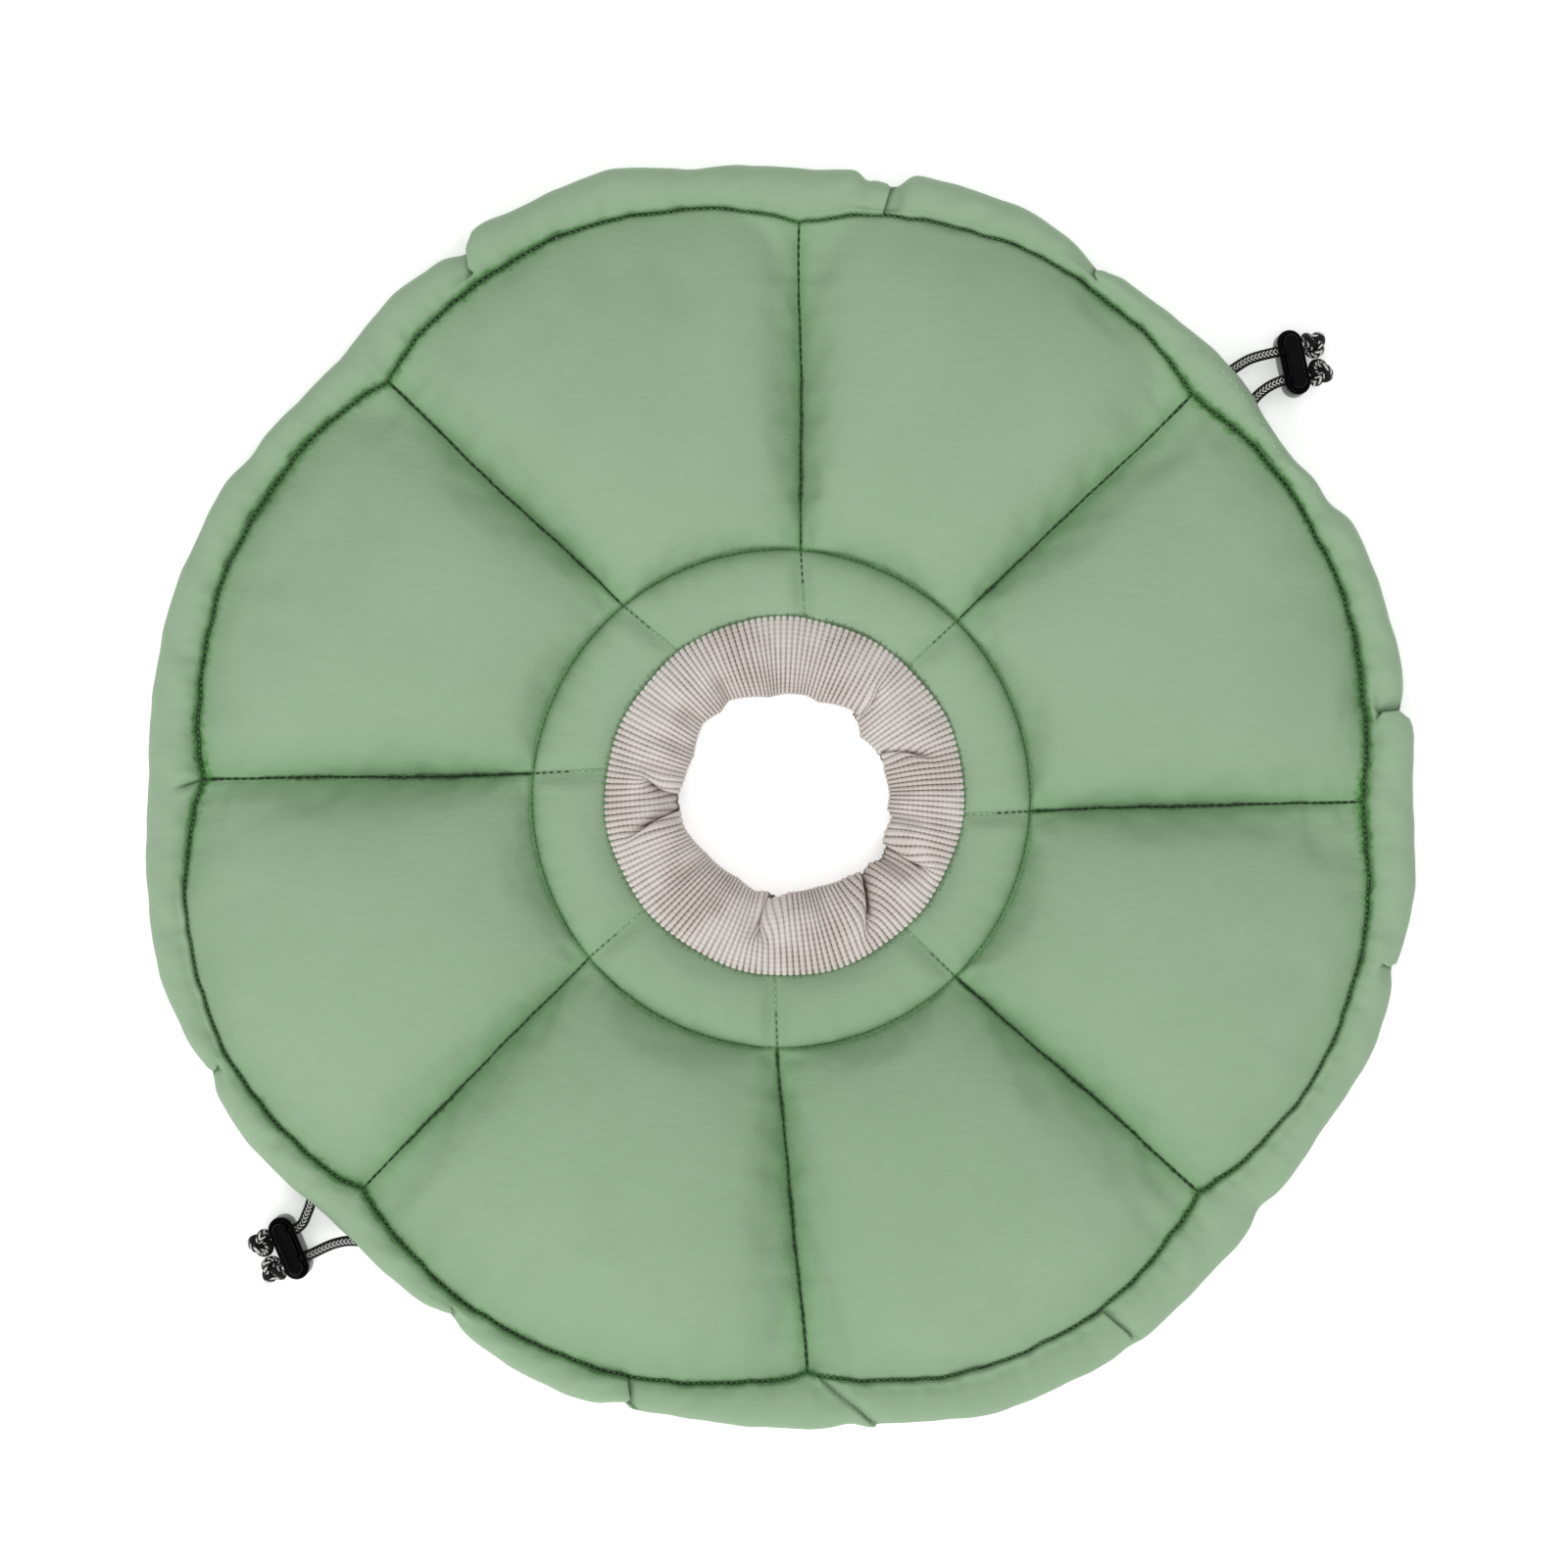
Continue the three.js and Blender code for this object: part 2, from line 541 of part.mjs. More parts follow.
// The lock's plunger: it stands out of the housing, and its slots let the cords stay where they are as it
// is pressed.
function makePlunger() {
  const inset = LOCK_WALL + RUNNING_CLEARANCE;
  const foot = HOLE_HEIGHT - HOLE_DIAMETER / 2 - PLUNGER_FOOT;
  const height = LOCK_HEIGHT + PLUNGER_STANDING - foot;
  const bar = roundEndedBar(LOCK_LENGTH - 2 * inset, LOCK_WIDTH - 2 * inset, height);
  bar.translate(0, 0, foot);
  return toGeometry(toSolid(bar)
    .subtract(cordHole(1, HOLE_DIAMETER, HOLE_HEIGHT, PLUNGER_TRAVEL))
    .subtract(cordHole(-1, HOLE_DIAMETER, HOLE_HEIGHT, PLUNGER_TRAVEL)));
}

// A knot: the cord's end wound once about itself and drawn tight.
function makeKnot() {
  const core = new THREE.SphereGeometry(KNOT_WIDTH / 2, 7, 5);
  core.scale(KNOT_LENGTH / KNOT_WIDTH, 1, 1);
  const wrapRadius = (KNOT_LENGTH - KNOT_WRAP_THICKNESS) / 2;
  const wrap = new THREE.TorusGeometry(wrapRadius, KNOT_WRAP_THICKNESS / 2, 4, 7);
  wrap.rotateX(Math.PI / 2);
  wrap.rotateZ(KNOT_TWIST);
  return toGeometry(toSolid(core).add(toSolid(wrap)));
}

addPiece('quilted_brim', makeBrim(), fabric);
addPiece('neck_cuff', makeCuff(), knit);

const channelRadius = CORD_RADIUS + CORD_CLEARANCE;
const channels = CORDS.map((cord) => toSolid(rodAlong(routeOf(cord), channelRadius, CHANNEL_SIDES)));
const casing = channels.reduce((solid, channel) => solid.subtract(channel), toSolid(makeCasing()));
addPiece('rim_casing', toGeometry(casing), fabric);

CORDS.forEach((cord) => addPiece(cord.name, rodAlong(routeOf(cord), CORD_RADIUS, CORD_SIDES), braid));

for (const [name, lock] of Object.entries(LOCKS)) {
  const frame = lockFrame(lock);
  const stand = new THREE.Group();
  stand.position.set(frame.middle.x, frame.middle.y, LOCK_LIFT);
  stand.rotation.z = frame.heading - Math.PI / 2;
  collar.add(stand);
  addPiece(`lock_${name}_housing`, makeHousing(), plastic, stand);
  addPiece(`lock_${name}_plunger`, makePlunger(), plastic, stand);
  const knotDistance = CORD_END + RUNNING_CLEARANCE + KNOT_WIDTH / 2;
  for (const [place, side] of [['left', -1], ['right', 1]]) {
    const knot = addPiece(`knot_${name}_${place}`, makeKnot(), braid, stand);
    knot.position.set((side * LOCK_HOLE_SPACING) / 2, knotDistance, HOLE_HEIGHT);
  }
}

export default collar;
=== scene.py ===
"""Dresses a cat recovery collar: quilted microfibre petals, a gathered drawcord casing, a rib-knit neck
cuff, braided drawcords with their knots, and spring cord locks. Metres, +Z up, in the frame of the CAD
model. Bearings are degrees about the middle, anticlockwise from +X. A wedge place counts the eight wedges
from 0 to 8.
"""

from __future__ import annotations

import logging
import math
from dataclasses import dataclass
from enum import Enum
from typing import Any, Callable, Mapping, NamedTuple, Sequence, Union

import bmesh
import bpy
import numpy as np
from mathutils import Matrix, Vector
from mathutils.bvhtree import BVHTree

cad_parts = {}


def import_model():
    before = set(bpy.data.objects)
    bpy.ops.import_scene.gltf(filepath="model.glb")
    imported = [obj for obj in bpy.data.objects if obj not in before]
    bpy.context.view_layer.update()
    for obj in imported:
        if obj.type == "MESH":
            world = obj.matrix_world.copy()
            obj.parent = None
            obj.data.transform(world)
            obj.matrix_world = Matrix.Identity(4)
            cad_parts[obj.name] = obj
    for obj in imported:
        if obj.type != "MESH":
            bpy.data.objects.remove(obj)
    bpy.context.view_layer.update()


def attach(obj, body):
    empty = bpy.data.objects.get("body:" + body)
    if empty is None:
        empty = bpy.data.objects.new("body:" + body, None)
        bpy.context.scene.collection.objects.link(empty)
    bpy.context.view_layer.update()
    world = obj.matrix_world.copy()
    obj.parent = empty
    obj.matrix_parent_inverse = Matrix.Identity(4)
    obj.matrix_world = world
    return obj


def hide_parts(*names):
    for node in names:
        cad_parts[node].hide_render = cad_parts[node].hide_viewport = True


LOG = logging.getLogger("collar")
Triple = tuple[float, float, float]
Colour = Triple
Array = np.ndarray
Marks = Mapping[str, Array]
Waves = Sequence[Triple]

MM = 0.001
# Points closer than WELD are sewn into one, and places closer to a seam than TOUCH lie on it.
WELD = 1e-7
TOUCH = 1e-6
# SPECK and TINY keep divisions and signs away from zero.
SPECK = 1e-9
TINY = 1e-12
# The distance between the two cord holes of a cord lock.
HOLE_SPACING = 0.0072


class Slot(Enum):
    """The record's material slots."""

    BRIM = "brim_fabric"
    CASING = "casing_fabric"
    KNIT = "rib_knit"
    CORD = "braided_cord"
    HOUSING = "lock_housing"
    PLUNGER = "lock_plunger"


class Body(Enum):
    """The model's bodies that pieces ride on."""

    COLLAR = "collar"
    NE_PLUNGER = "ne_plunger"
    SW_PLUNGER = "sw_plunger"


def smoothstep(low: float, high: float, value: Array) -> Array:
    """Eases values from 0 at low to 1 at high."""
    share = np.clip((value - low) / (high - low), 0.0, 1.0)
    return share * share * (3.0 - 2.0 * share)


def hill(offset: Array, width: float) -> Array:
    """Returns a smooth hill, 1 where the offset is 0 and low past the width."""
    return np.exp(-(offset / width) ** 2)


def unit(vector: Array) -> Array:
    """Returns vectors scaled to a length of one."""
    return vector / np.maximum(np.linalg.norm(vector, axis=-1, keepdims=True), TINY)


def direction(bearing: Array) -> Array:
    """Returns the unit vectors in the disc's plane at bearings."""
    angle = np.radians(bearing)
    return np.stack([np.cos(angle), np.sin(angle)], axis=-1)


def sideways(outward: Array) -> Array:
    """Returns the vectors of the disc's plane a quarter turn anticlockwise from others."""
    return np.stack([-outward[..., 1], outward[..., 0]], axis=-1)


def turn_from(bearing: Array, at: float) -> Array:
    """Returns the turn from one bearing to others, from -180 to 180."""
    return np.mod(bearing - at + 180.0, 360.0) - 180.0


def ripples(angle: Array, waves: Waves) -> Array:
    """Adds up sine waves, each given by its rate, phase and size."""
    return sum(size * np.sin(rate * angle + phase) for rate, phase, size in waves)


def ring_table(rows: Sequence[tuple[float, float]], bearing: Array, eased: bool) -> Array:
    """Reads a table round the ring.

    Args:
        rows: Bearings, rising, and their values.
        bearing: Where it is read.
        eased: Whether it eases from row to row.

    Returns:
        The values.
    """
    ats, values = (np.array(column, dtype=float) for column in zip(*rows))
    wrapped = np.mod(bearing - ats[0], 360.0) + ats[0]
    index = np.clip(np.searchsorted(ats, wrapped, side="right") - 1, 0, len(ats) - 1)
    after = np.mod(index + 1, len(ats))
    share = (wrapped - ats[index]) / np.mod(ats[after] - ats[index], 360.0)
    if eased:
        share = smoothstep(0.0, 1.0, share)
    return values[index] + (values[after] - values[index]) * share


class Number:
    """A number socket of a material that takes part in Python expressions."""

    def __init__(self, sheet: "NodeSheet", socket: bpy.types.NodeSocket) -> None:
        """Wraps an output socket of a material."""
        self.sheet = sheet
        self.socket = socket

    def calc(self, operation: str, *others: "Operand") -> "Number":
        """Returns the result of a Math node whose first input is this number."""
        return self.sheet.math(operation, self, *others)

    def __add__(self, other: "Operand") -> "Number":
        """Returns the sum."""
        return self.calc("ADD", other)

    def __sub__(self, other: "Operand") -> "Number":
        """Returns the difference."""
        return self.calc("SUBTRACT", other)

    def __rsub__(self, other: "Operand") -> "Number":
        """Returns the difference from another number."""
        return self.sheet.math("SUBTRACT", other, self)

    def __mul__(self, other: "Operand") -> "Number":
        """Returns the product."""
        return self.calc("MULTIPLY", other)

    def __truediv__(self, other: "Operand") -> "Number":
        """Returns the quotient."""
        return self.calc("DIVIDE", other)

    def __pow__(self, other: "Operand") -> "Number":
        """Returns the power."""
        return self.calc("POWER", other)

    def size(self) -> "Number":
        """Returns the absolute value."""
        return self.calc("ABSOLUTE")

    def fraction(self) -> "Number":
        """Returns the part after the point."""
        return self.calc("FRACT")

    def fading(self, distance: float) -> "Number":
        """Returns how a thing fades with this number, to about a third over the distance."""
        return self.sheet.math("EXPONENT", self * (-1.0 / distance))

    def ease(self, low: float, high: float) -> "Number":
        """Eases from 0 at low to 1 at high.

        Args:
            low: The value where the result leaves 0.
            high: The value where the result reaches 1.

        Returns:
            The eased number.
        """
        settings = {"interpolation_type": "SMOOTHSTEP"}
        inputs = {"Value": self, "From Min": low, "From Max": high}
        return Number(self.sheet, self.sheet.add("ShaderNodeMapRange", settings, inputs).outputs["Result"])


Operand = Union[Number, float, int]


class NodeSheet:
    """A procedural material under construction."""

    def __init__(self, name: str) -> None:
        """Starts an empty material.

        Args:
            name: Its name.
        """
        self.material = bpy.data.materials.new(name)
        self.material.use_nodes = True
        self.tree = self.material.node_tree
        self.tree.nodes.clear()

    def add(self, kind: str, settings: Mapping[str, Any], inputs: Mapping[Any, Any]) -> bpy.types.Node:
        """Adds a node.

        Args:
            kind: The node's type.
            settings: Its properties, set first.
            inputs: What each socket, by name or number, is linked to or holds.

        Returns:
            The node.
        """
        node = self.tree.nodes.new(kind)
        for key, value in settings.items():
            setattr(node, key, value)
        for key, value in inputs.items():
            if isinstance(value, Number):
                value = value.socket
            if isinstance(value, bpy.types.NodeSocket):
                self.tree.links.new(value, node.inputs[key])
            else:
                node.inputs[key].default_value = value
        return node

    def math(self, operation: str, *values: Operand) -> Number:
        """Returns the result of a Math node."""
        node = self.add("ShaderNodeMath", {"operation": operation}, dict(enumerate(values)))
        return Number(self, node.outputs[0])

    def place(self, scale: Triple = (1.0, 1.0, 1.0), turn: float = 0.0) -> bpy.types.NodeSocket:
        """Reads the Object coordinates.

        Args:
            scale: The factor on each axis.
            turn: The turn about +Z after it, in radians.

        Returns:
            The coordinates.
        """
        source = self.add("ShaderNodeTexCoord", {}, {}).outputs["Object"]
        inputs = {"Vector": source, "Scale": scale, "Rotation": (0.0, 0.0, turn)}
        return self.add("ShaderNodeMapping", {}, inputs).outputs[0]

    def polar(self) -> tuple[Number, Number, Number]:
        """Works out where a point lies seen from above.

        Returns:
            Its reach from the middle, and the x and y of its direction.
        """
        flat = self.place((1.0, 1.0, 0.0))
        length = self.add("ShaderNodeVectorMath", {"operation": "LENGTH"}, {0: flat}).outputs["Value"]
        heading = self.add("ShaderNodeVectorMath", {"operation": "NORMALIZE"}, {0: flat}).outputs[0]
        split = self.add("ShaderNodeSeparateXYZ", {}, {0: heading})
        return Number(self, length), Number(self, split.outputs[0]), Number(self, split.outputs[1])

    def uv(self) -> tuple[Number, Number]:
        """Reads the piece's own UV map.

        Returns:
            Its two numbers.
        """
        source = self.add("ShaderNodeUVMap", {"uv_map": "UVMap"}, {})
        split = self.add("ShaderNodeSeparateXYZ", {}, {0: source.outputs[0]})
        return Number(self, split.outputs[0]), Number(self, split.outputs[1])

    def attribute(self, name: str) -> Number:
        """Returns a number that the mesh holds at each point, 0 where it holds none of that name."""
        return Number(self, self.add("ShaderNodeAttribute", {"attribute_name": name}, {}).outputs["Fac"])

    def vector(self, *parts: Operand) -> bpy.types.NodeSocket:
        """Returns a vector made of numbers."""
        return self.add("ShaderNodeCombineXYZ", {}, dict(enumerate(parts))).outputs[0]

    def noise(self, vector: bpy.types.NodeSocket, scale: float, detail: float = 2.0) -> Number:
        """Returns a noise texture read at a vector, from 0 to 1 about 0.5."""
        inputs = {"Vector": vector, "Scale": scale, "Detail": detail, "Roughness": 0.55}
        return Number(self, self.add("ShaderNodeTexNoise", {}, inputs).outputs[0])

    def mix(self, share: Operand, first: Any, second: Any) -> bpy.types.NodeSocket:
        """Mixes two colours.

        Args:
            share: How much of the second shows.
            first: The first colour, or its socket.
            second: The second colour, or its socket.

        Returns:
            The mixed colour.
        """
        ends = [(*colour, 1.0) if isinstance(colour, tuple) else colour for colour in (first, second)]
        inputs = {0: share, 6: ends[0], 7: ends[1]}
        return self.add("ShaderNodeMix", {"data_type": "RGBA"}, inputs).outputs[2]

    def bump(self, height: Number, distance: float, strength: float = 1.0) -> bpy.types.NodeSocket:
        """Returns the normal of a height, where a height of 1 stands for a distance in metres."""
        inputs = {"Height": height, "Distance": distance, "Strength": strength}
        return self.add("ShaderNodeBump", {}, inputs).outputs[0]

    def finish(self, inputs: Mapping[str, Any]) -> bpy.types.Material:
        """Ends the material in a Principled shader.

        Args:
            inputs: What the shader's sockets are linked to or hold.

        Returns:
            The material.
        """
        shader = self.add("ShaderNodeBsdfPrincipled", {}, inputs)
        self.add("ShaderNodeOutputMaterial", {}, {"Surface": shader.outputs[0]})
        return self.material


@dataclass(frozen=True)
class Microfibre:
    """Brushed sage microfibre, with painted shade in the hollows beside the seams, painted shadow down the
    seam lines and painted shade in the casing's folds. The mesh holds the distances from the nearest radial
    and round seam in millimetres, how deep that radial seam is, how hard the round one is drawn in, how deep
    in the folds the cloth lies, which sets their painted shade, and how much darker the cloth is made round
    the south side."""

    name: str = "sage_microfibre"
    colour: Colour = (0.298, 0.416, 0.281)
    shade: Colour = (0.252, 0.366, 0.236)
    # The next three colours are painted shade and shadow: in the hollows beside the seams, down the seam
    # lines and along the round seams.
    valley_shade: Colour = (0.110, 0.275, 0.085)
    crack_shade: Colour = (0.020, 0.058, 0.016)
    groove_shade: Colour = (0.056, 0.205, 0.038)
    nap_pitch: float = 0.0011
    pucker_pitch: float = 0.0036
    cloud_waves: float = 26.0
    slow_waves: float = 32.0
    uneven_waves: float = 95.0
    fray_waves: float = 640.0
    valley_shade_width: float = 3.4
    south_darkening_share: float = 0.9
    valley_shade_share: float = 0.52
    crack_shade_share: float = 0.94
    fold_shade_share: float = 0.9
    roughness: float = 0.86
    sheen: float = 0.16
    relief: float = 0.0016

    def material(self) -> bpy.types.Material:
        """Builds the material.

        Returns:
            The material.
        """
        sheet = NodeSheet(self.name)
        nap_waves = 1.0 / self.nap_pitch
        cloudy = sheet.noise(sheet.place(), self.cloud_waves, 3.0)
        nap = sheet.noise(sheet.place((0.28, 1.0, 1.0), 0.12), nap_waves, 3.0)
        grain = sheet.noise(sheet.place(), nap_waves * 2.4, 2.0)
        tone = cloudy.ease(0.3, 0.75) * 0.4 + nap.ease(0.25, 0.75) * 0.26 + grain * 0.2
        # The cloth is made darker round the south side, where the mesh marks it.
        tone = tone + sheet.attribute("south_darkening") * self.south_darkening_share
        base = sheet.mix(tone, self.colour, self.shade)
        radial, rounds, deep = (sheet.attribute(name) for name in ("radial", "round", "deep"))
        draw, fold_shade = (sheet.attribute(name) for name in ("draw", "fold_shade"))
        slow = sheet.noise(sheet.place(), self.slow_waves, 1.0).ease(0.35, 0.65)
        fray = sheet.noise(sheet.place(), self.fray_waves, 2.0)
        ragged = (grain - 0.5) * 0.6 + (nap - 0.5) * 0.5 + (fray - 0.5) * 1.1
        # Painted shade: the cloth turns a deeper, darker green in the hollows beside the seams.
        round_hollow_shade = rounds.fading(self.valley_shade_width) * (draw * 0.75 + 0.25)
        hollow = (radial.fading(self.valley_shade_width) * deep).calc("MAXIMUM", round_hollow_shade)
        uneven = sheet.noise(sheet.place(), self.uneven_waves, 2.0).ease(0.36, 0.66) * 0.4 + 0.6
        by_radial = radial / (slow * 0.4 + 0.5) + ragged * 0.7
        by_round = rounds / (draw * 2.6 + 0.5) + ragged
        # Painted shadow: a thin, ragged near-black line down the seam grooves.
        round_crack_shade = (1.0 - by_round.ease(0.0, 0.55)) * (draw * 0.6 + 0.05)
        radial_crack_shade = (1.0 - by_radial.ease(0.1, 0.9)) * deep * (slow * 0.15 + 0.85)
        crack_shade = radial_crack_shade.calc("MAXIMUM", round_crack_shade * uneven)
        shaded = sheet.mix(hollow * self.valley_shade_share + fold_shade * 0.2, base, self.valley_shade)
        # Painted shade: a darker band along the round seams, stronger where they are drawn in harder.
        groove_shaded = sheet.mix((1.0 - by_round.ease(0.1, 1.0)) * (draw * 0.65 + 0.22), shaded, self.groove_shade)
        crack_shaded = sheet.mix(crack_shade * self.crack_shade_share, groove_shaded, self.crack_shade)
        # Painted shade in the casing's folds and creases.
        fold_shaded = sheet.mix(fold_shade * self.fold_shade_share, crack_shaded, self.crack_shade)
        reach, x, y = sheet.polar()
        pucker_waves = 1.0 / self.pucker_pitch
        over_radial = sheet.noise(sheet.vector(reach, x * 0.03, y * 0.03), pucker_waves) - 0.5
        over_round = sheet.noise(sheet.vector(x * 0.14, y * 0.14, reach * 0.2), pucker_waves) - 0.5
        puckers = over_radial * radial.fading(6.0) * deep * 0.5 \
            + over_round * rounds.fading(5.0) * (draw * 0.45 + 0.12)
        return sheet.finish({
            "Base Color": fold_shaded,
            "Roughness": self.roughness,
            "Sheen Weight": self.sheen,
            "Sheen Roughness": 0.45,
            "Sheen Tint": (0.86, 0.95, 0.84, 1.0),
            "Specular IOR Level": 0.22,
            "Normal": sheet.bump(nap * 0.12 + grain * 0.05 + puckers, self.relief, 0.7),
        })


@dataclass(frozen=True)
class SewingThread:
    """Twisted sewing thread."""

    name: str
    colour: Colour
    ply_pitch: float = 0.0005
    roughness: float = 0.6
    relief: float = 0.00008

    def material(self) -> bpy.types.Material:
        """Builds the material.

        Returns:
            The material.
        """
        sheet = NodeSheet(self.name)
        ply = sheet.noise(sheet.place(), 1.0 / self.ply_pitch, 1.0)
        dark = tuple(0.5 * part for part in self.colour)
        return sheet.finish({
            "Base Color": sheet.mix(ply.ease(0.35, 0.7), self.colour, dark),
            "Roughness": self.roughness,
            "Specular IOR Level": 0.3,
            "Normal": sheet.bump(ply, self.relief),
        })


@dataclass(frozen=True)
class RibKnit:
    """Cream cotton rib knit, with painted shade between the ribs and in the folds. U counts the ribs and V
    is the distance along them, in metres. The mesh holds how deep in the folds the knit lies, which sets
    their painted shade."""

    name: str = "cream_rib_knit"
    colour: Colour = (0.700, 0.655, 0.628)
    # Painted shade colours: the first darkens the gaps between the ribs, the last the middles of the folds;
    # the middle one is the knit's darker tone, which the folds are also shaded towards.
    valley_shade: Colour = (0.120, 0.084, 0.064)
    shade: Colour = (0.470, 0.405, 0.355)
    crease: Colour = (0.085, 0.046, 0.028)
    loop_pitch: float = 0.00118
    yarn_waves: float = 1900.0
    patch_waves: float = 62.0
    roughness: float = 0.93
    sheen: float = 0.14
    relief: float = 0.0004

    def material(self) -> bpy.types.Material:
        """Builds the material.

        Returns:
            The material.
        """
        sheet = NodeSheet(self.name)
        rib, along = sheet.uv()
        across = (rib.fraction() - 0.5).size() * 2.0
        loops = along / self.loop_pitch
        stitch = ((loops + across * 0.5).fraction() - 0.5).size() * 2.0
        yarn = sheet.noise(sheet.place(), self.yarn_waves, 2.0)
        patch = sheet.noise(sheet.place(), self.patch_waves, 3.0)
        dots = ((loops + 0.25).fraction() - 0.5).size().ease(0.1, 0.4)
        uneven = patch.ease(0.36, 0.64) * 0.6 + 0.45
        # Painted shade in the gaps between the ribs, dotted along the loops.
        between = across.ease(0.6, 0.92) * (dots * 0.4 + 0.6) * uneven
        wear = stitch.ease(0.5, 1.0) * 0.18 + yarn * 0.26 + patch.ease(0.4, 0.7) * 0.4
        ribbed = sheet.mix(between * 0.92, sheet.mix(wear, self.colour, self.shade), self.valley_shade)
        fold_shade = sheet.attribute("fold_shade")
        # Painted shade in the folds and on the underside, darkest down the middle of each fold.
        dimmed = sheet.mix(fold_shade.ease(0.0, 0.7) * 0.55, ribbed, self.shade)
        fold_shaded = sheet.mix(fold_shade.ease(0.4, 0.85) * 0.92, dimmed, self.crease)
        height = (1.0 - across * across) * 0.6 + (1.0 - stitch ** 2.0) * 0.2 + yarn * 0.16
        return sheet.finish({
            "Base Color": fold_shaded,
            "Roughness": self.roughness,
            "Sheen Weight": self.sheen,
            "Sheen Roughness": 0.5,
            "Specular IOR Level": 0.2,
            "Normal": sheet.bump(height, self.relief, 0.9),
        })


@dataclass(frozen=True)
class Braid:
    """Black round braid with pale tracers. U goes once round the cord and V is the distance along it. cover
    is how much of the cord's girth the tracers take."""

    name: str
    cover: float
    colour: Colour = (0.005, 0.005, 0.0055)
    fleck: Colour = (0.62, 0.62, 0.60)
    pick: float = 0.00095
    strands: float = 6.0
    fuzz_waves: float = 2600.0
    roughness: float = 0.62
    relief: float = 0.0003

    def material(self) -> bpy.types.Material:
        """Builds the material.

        Returns:
            The material.
        """
        sheet = NodeSheet(self.name)
        around, along = sheet.uv()
        picks = along / self.pick
        side = ((around * 2.0).fraction() - 0.5).size() * 2.0
        dash = ((picks + side * (0.75 / self.cover)).fraction() - 0.5).size() * 2.0
        fuzz = sheet.noise(sheet.place(), self.fuzz_waves, 2.0)
        stripe = 1.0 - (side + (fuzz - 0.5) * 0.2).ease(self.cover, self.cover + 0.1)
        parting = side.ease(0.0, 0.1) * 0.6 + 0.4
        mask = (dash + (fuzz - 0.5) * 0.6).ease(0.44, 0.64) * stripe * parting
        turns = around * self.strands
        plaits = ((picks + turns).fraction() - 0.5).size() + ((picks - turns).fraction() - 0.5).size()
        return sheet.finish({
            "Base Color": sheet.mix(mask, self.colour, self.fleck),
            "Roughness": self.roughness,
            "Specular IOR Level": 0.15,
            "Normal": sheet.bump(plaits, self.relief),
        })


@dataclass(frozen=True)
class MouldedPlastic:
    """Glossy moulded plastic with faint flow marks and scuffs."""

    name: str
    colour: Colour = (0.0014, 0.0014, 0.0015)
    roughness: float = 0.16
    relief: float = 0.0001
    flow_waves: float = 420.0
    scuff_waves: float = 1600.0

    def material(self) -> bpy.types.Material:
        """Builds the material.

        Returns:
            The material.
        """
        sheet = NodeSheet(self.name)
        flow = sheet.noise(sheet.place(), self.flow_waves, 3.0)
        scuff = sheet.noise(sheet.place((1.0, 0.2, 1.0), 0.6), self.scuff_waves, 2.0)
        pale = tuple(2.5 * part for part in self.colour)
        return sheet.finish({
            "Base Color": sheet.mix(scuff.ease(0.55, 0.8), self.colour, pale),
            "Roughness": flow * 0.1 + scuff.ease(0.5, 0.8) * 0.08 + self.roughness,
            "Specular IOR Level": 0.025,
            "Normal": sheet.bump(flow, self.relief, 0.6),
        })


@dataclass(frozen=True)
class PaleFloor:
    """Plain pale studio floor, lit a little from within as a light table is."""

    name: str = "studio_floor"
    colour: Colour = (0.95, 0.95, 0.95)
    glow: float = 0.3
    roughness: float = 0.9

    def material(self) -> bpy.types.Material:
        """Builds the material.

        Returns:
            The material.
        """
        return NodeSheet(self.name).finish({
            "Base Color": (*self.colour, 1.0),
            "Roughness": self.roughness,
            "Specular IOR Level": 0.1,
            "Emission Color": (1.0, 1.0, 1.0, 1.0),
            "Emission Strength": self.glow,
        })


def piece_from(name: str, shape: bmesh.types.BMesh, material: bpy.types.Material) -> bpy.types.Object:
    """Turns a finished shape into a piece at the origin.

    Args:
        name: The piece's name.
        shape: Its shape, which is freed.
        material: Its material.

    Returns:
        The piece.
    """
    mesh = bpy.data.meshes.new(name)
    shape.to_mesh(mesh)
    shape.free()
    mesh.shade_smooth()
    mesh.materials.append(material)
    piece = bpy.data.objects.new(name, mesh)
    bpy.context.scene.collection.objects.link(piece)
    return piece


def hand_over(piece: bpy.types.Object, body: Body, slot: Slot, *nodes: str) -> None:
    """Attaches a piece to the body that it rides on and hides the CAD nodes that it stands for.

    Args:
        piece: The piece.
        body: The body that it rides on.
        slot: The record's slot; not used.
        nodes: The CAD nodes that it stands for.
    """
    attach(piece, body.value)
    if nodes:
        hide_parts(*nodes)
    LOG.info("%s: %d faces", piece.name, len(piece.data.polygons))


def apply_modifiers(piece: bpy.types.Object) -> None:
    """Keeps what a piece's modifiers make in its mesh.

    Args:
        piece: The piece.
    """
    made = bpy.data.meshes.new_from_object(piece.evaluated_get(bpy.context.evaluated_depsgraph_get()))
    piece.modifiers.clear()
    piece.data = made


def numbers_of(source: Any, name: str, count: int = 1) -> Array:
    """Reads a property of every item of a mesh's collection.

    Args:
        source: The collection.
        name: The property.
        count: How many numbers it has.

    Returns:
        The numbers, a row for each item where there is more than one.
    """
    flat = np.empty(len(source) * count)
    source.foreach_get(name, flat)
    return flat.reshape(-1, count) if count > 1 else flat


def set_coordinates(mesh: bpy.types.Mesh, points: Array) -> None:
    """Moves a mesh's points."""
    mesh.vertices.foreach_set("co", points.astype(np.float32).ravel())
    mesh.update()


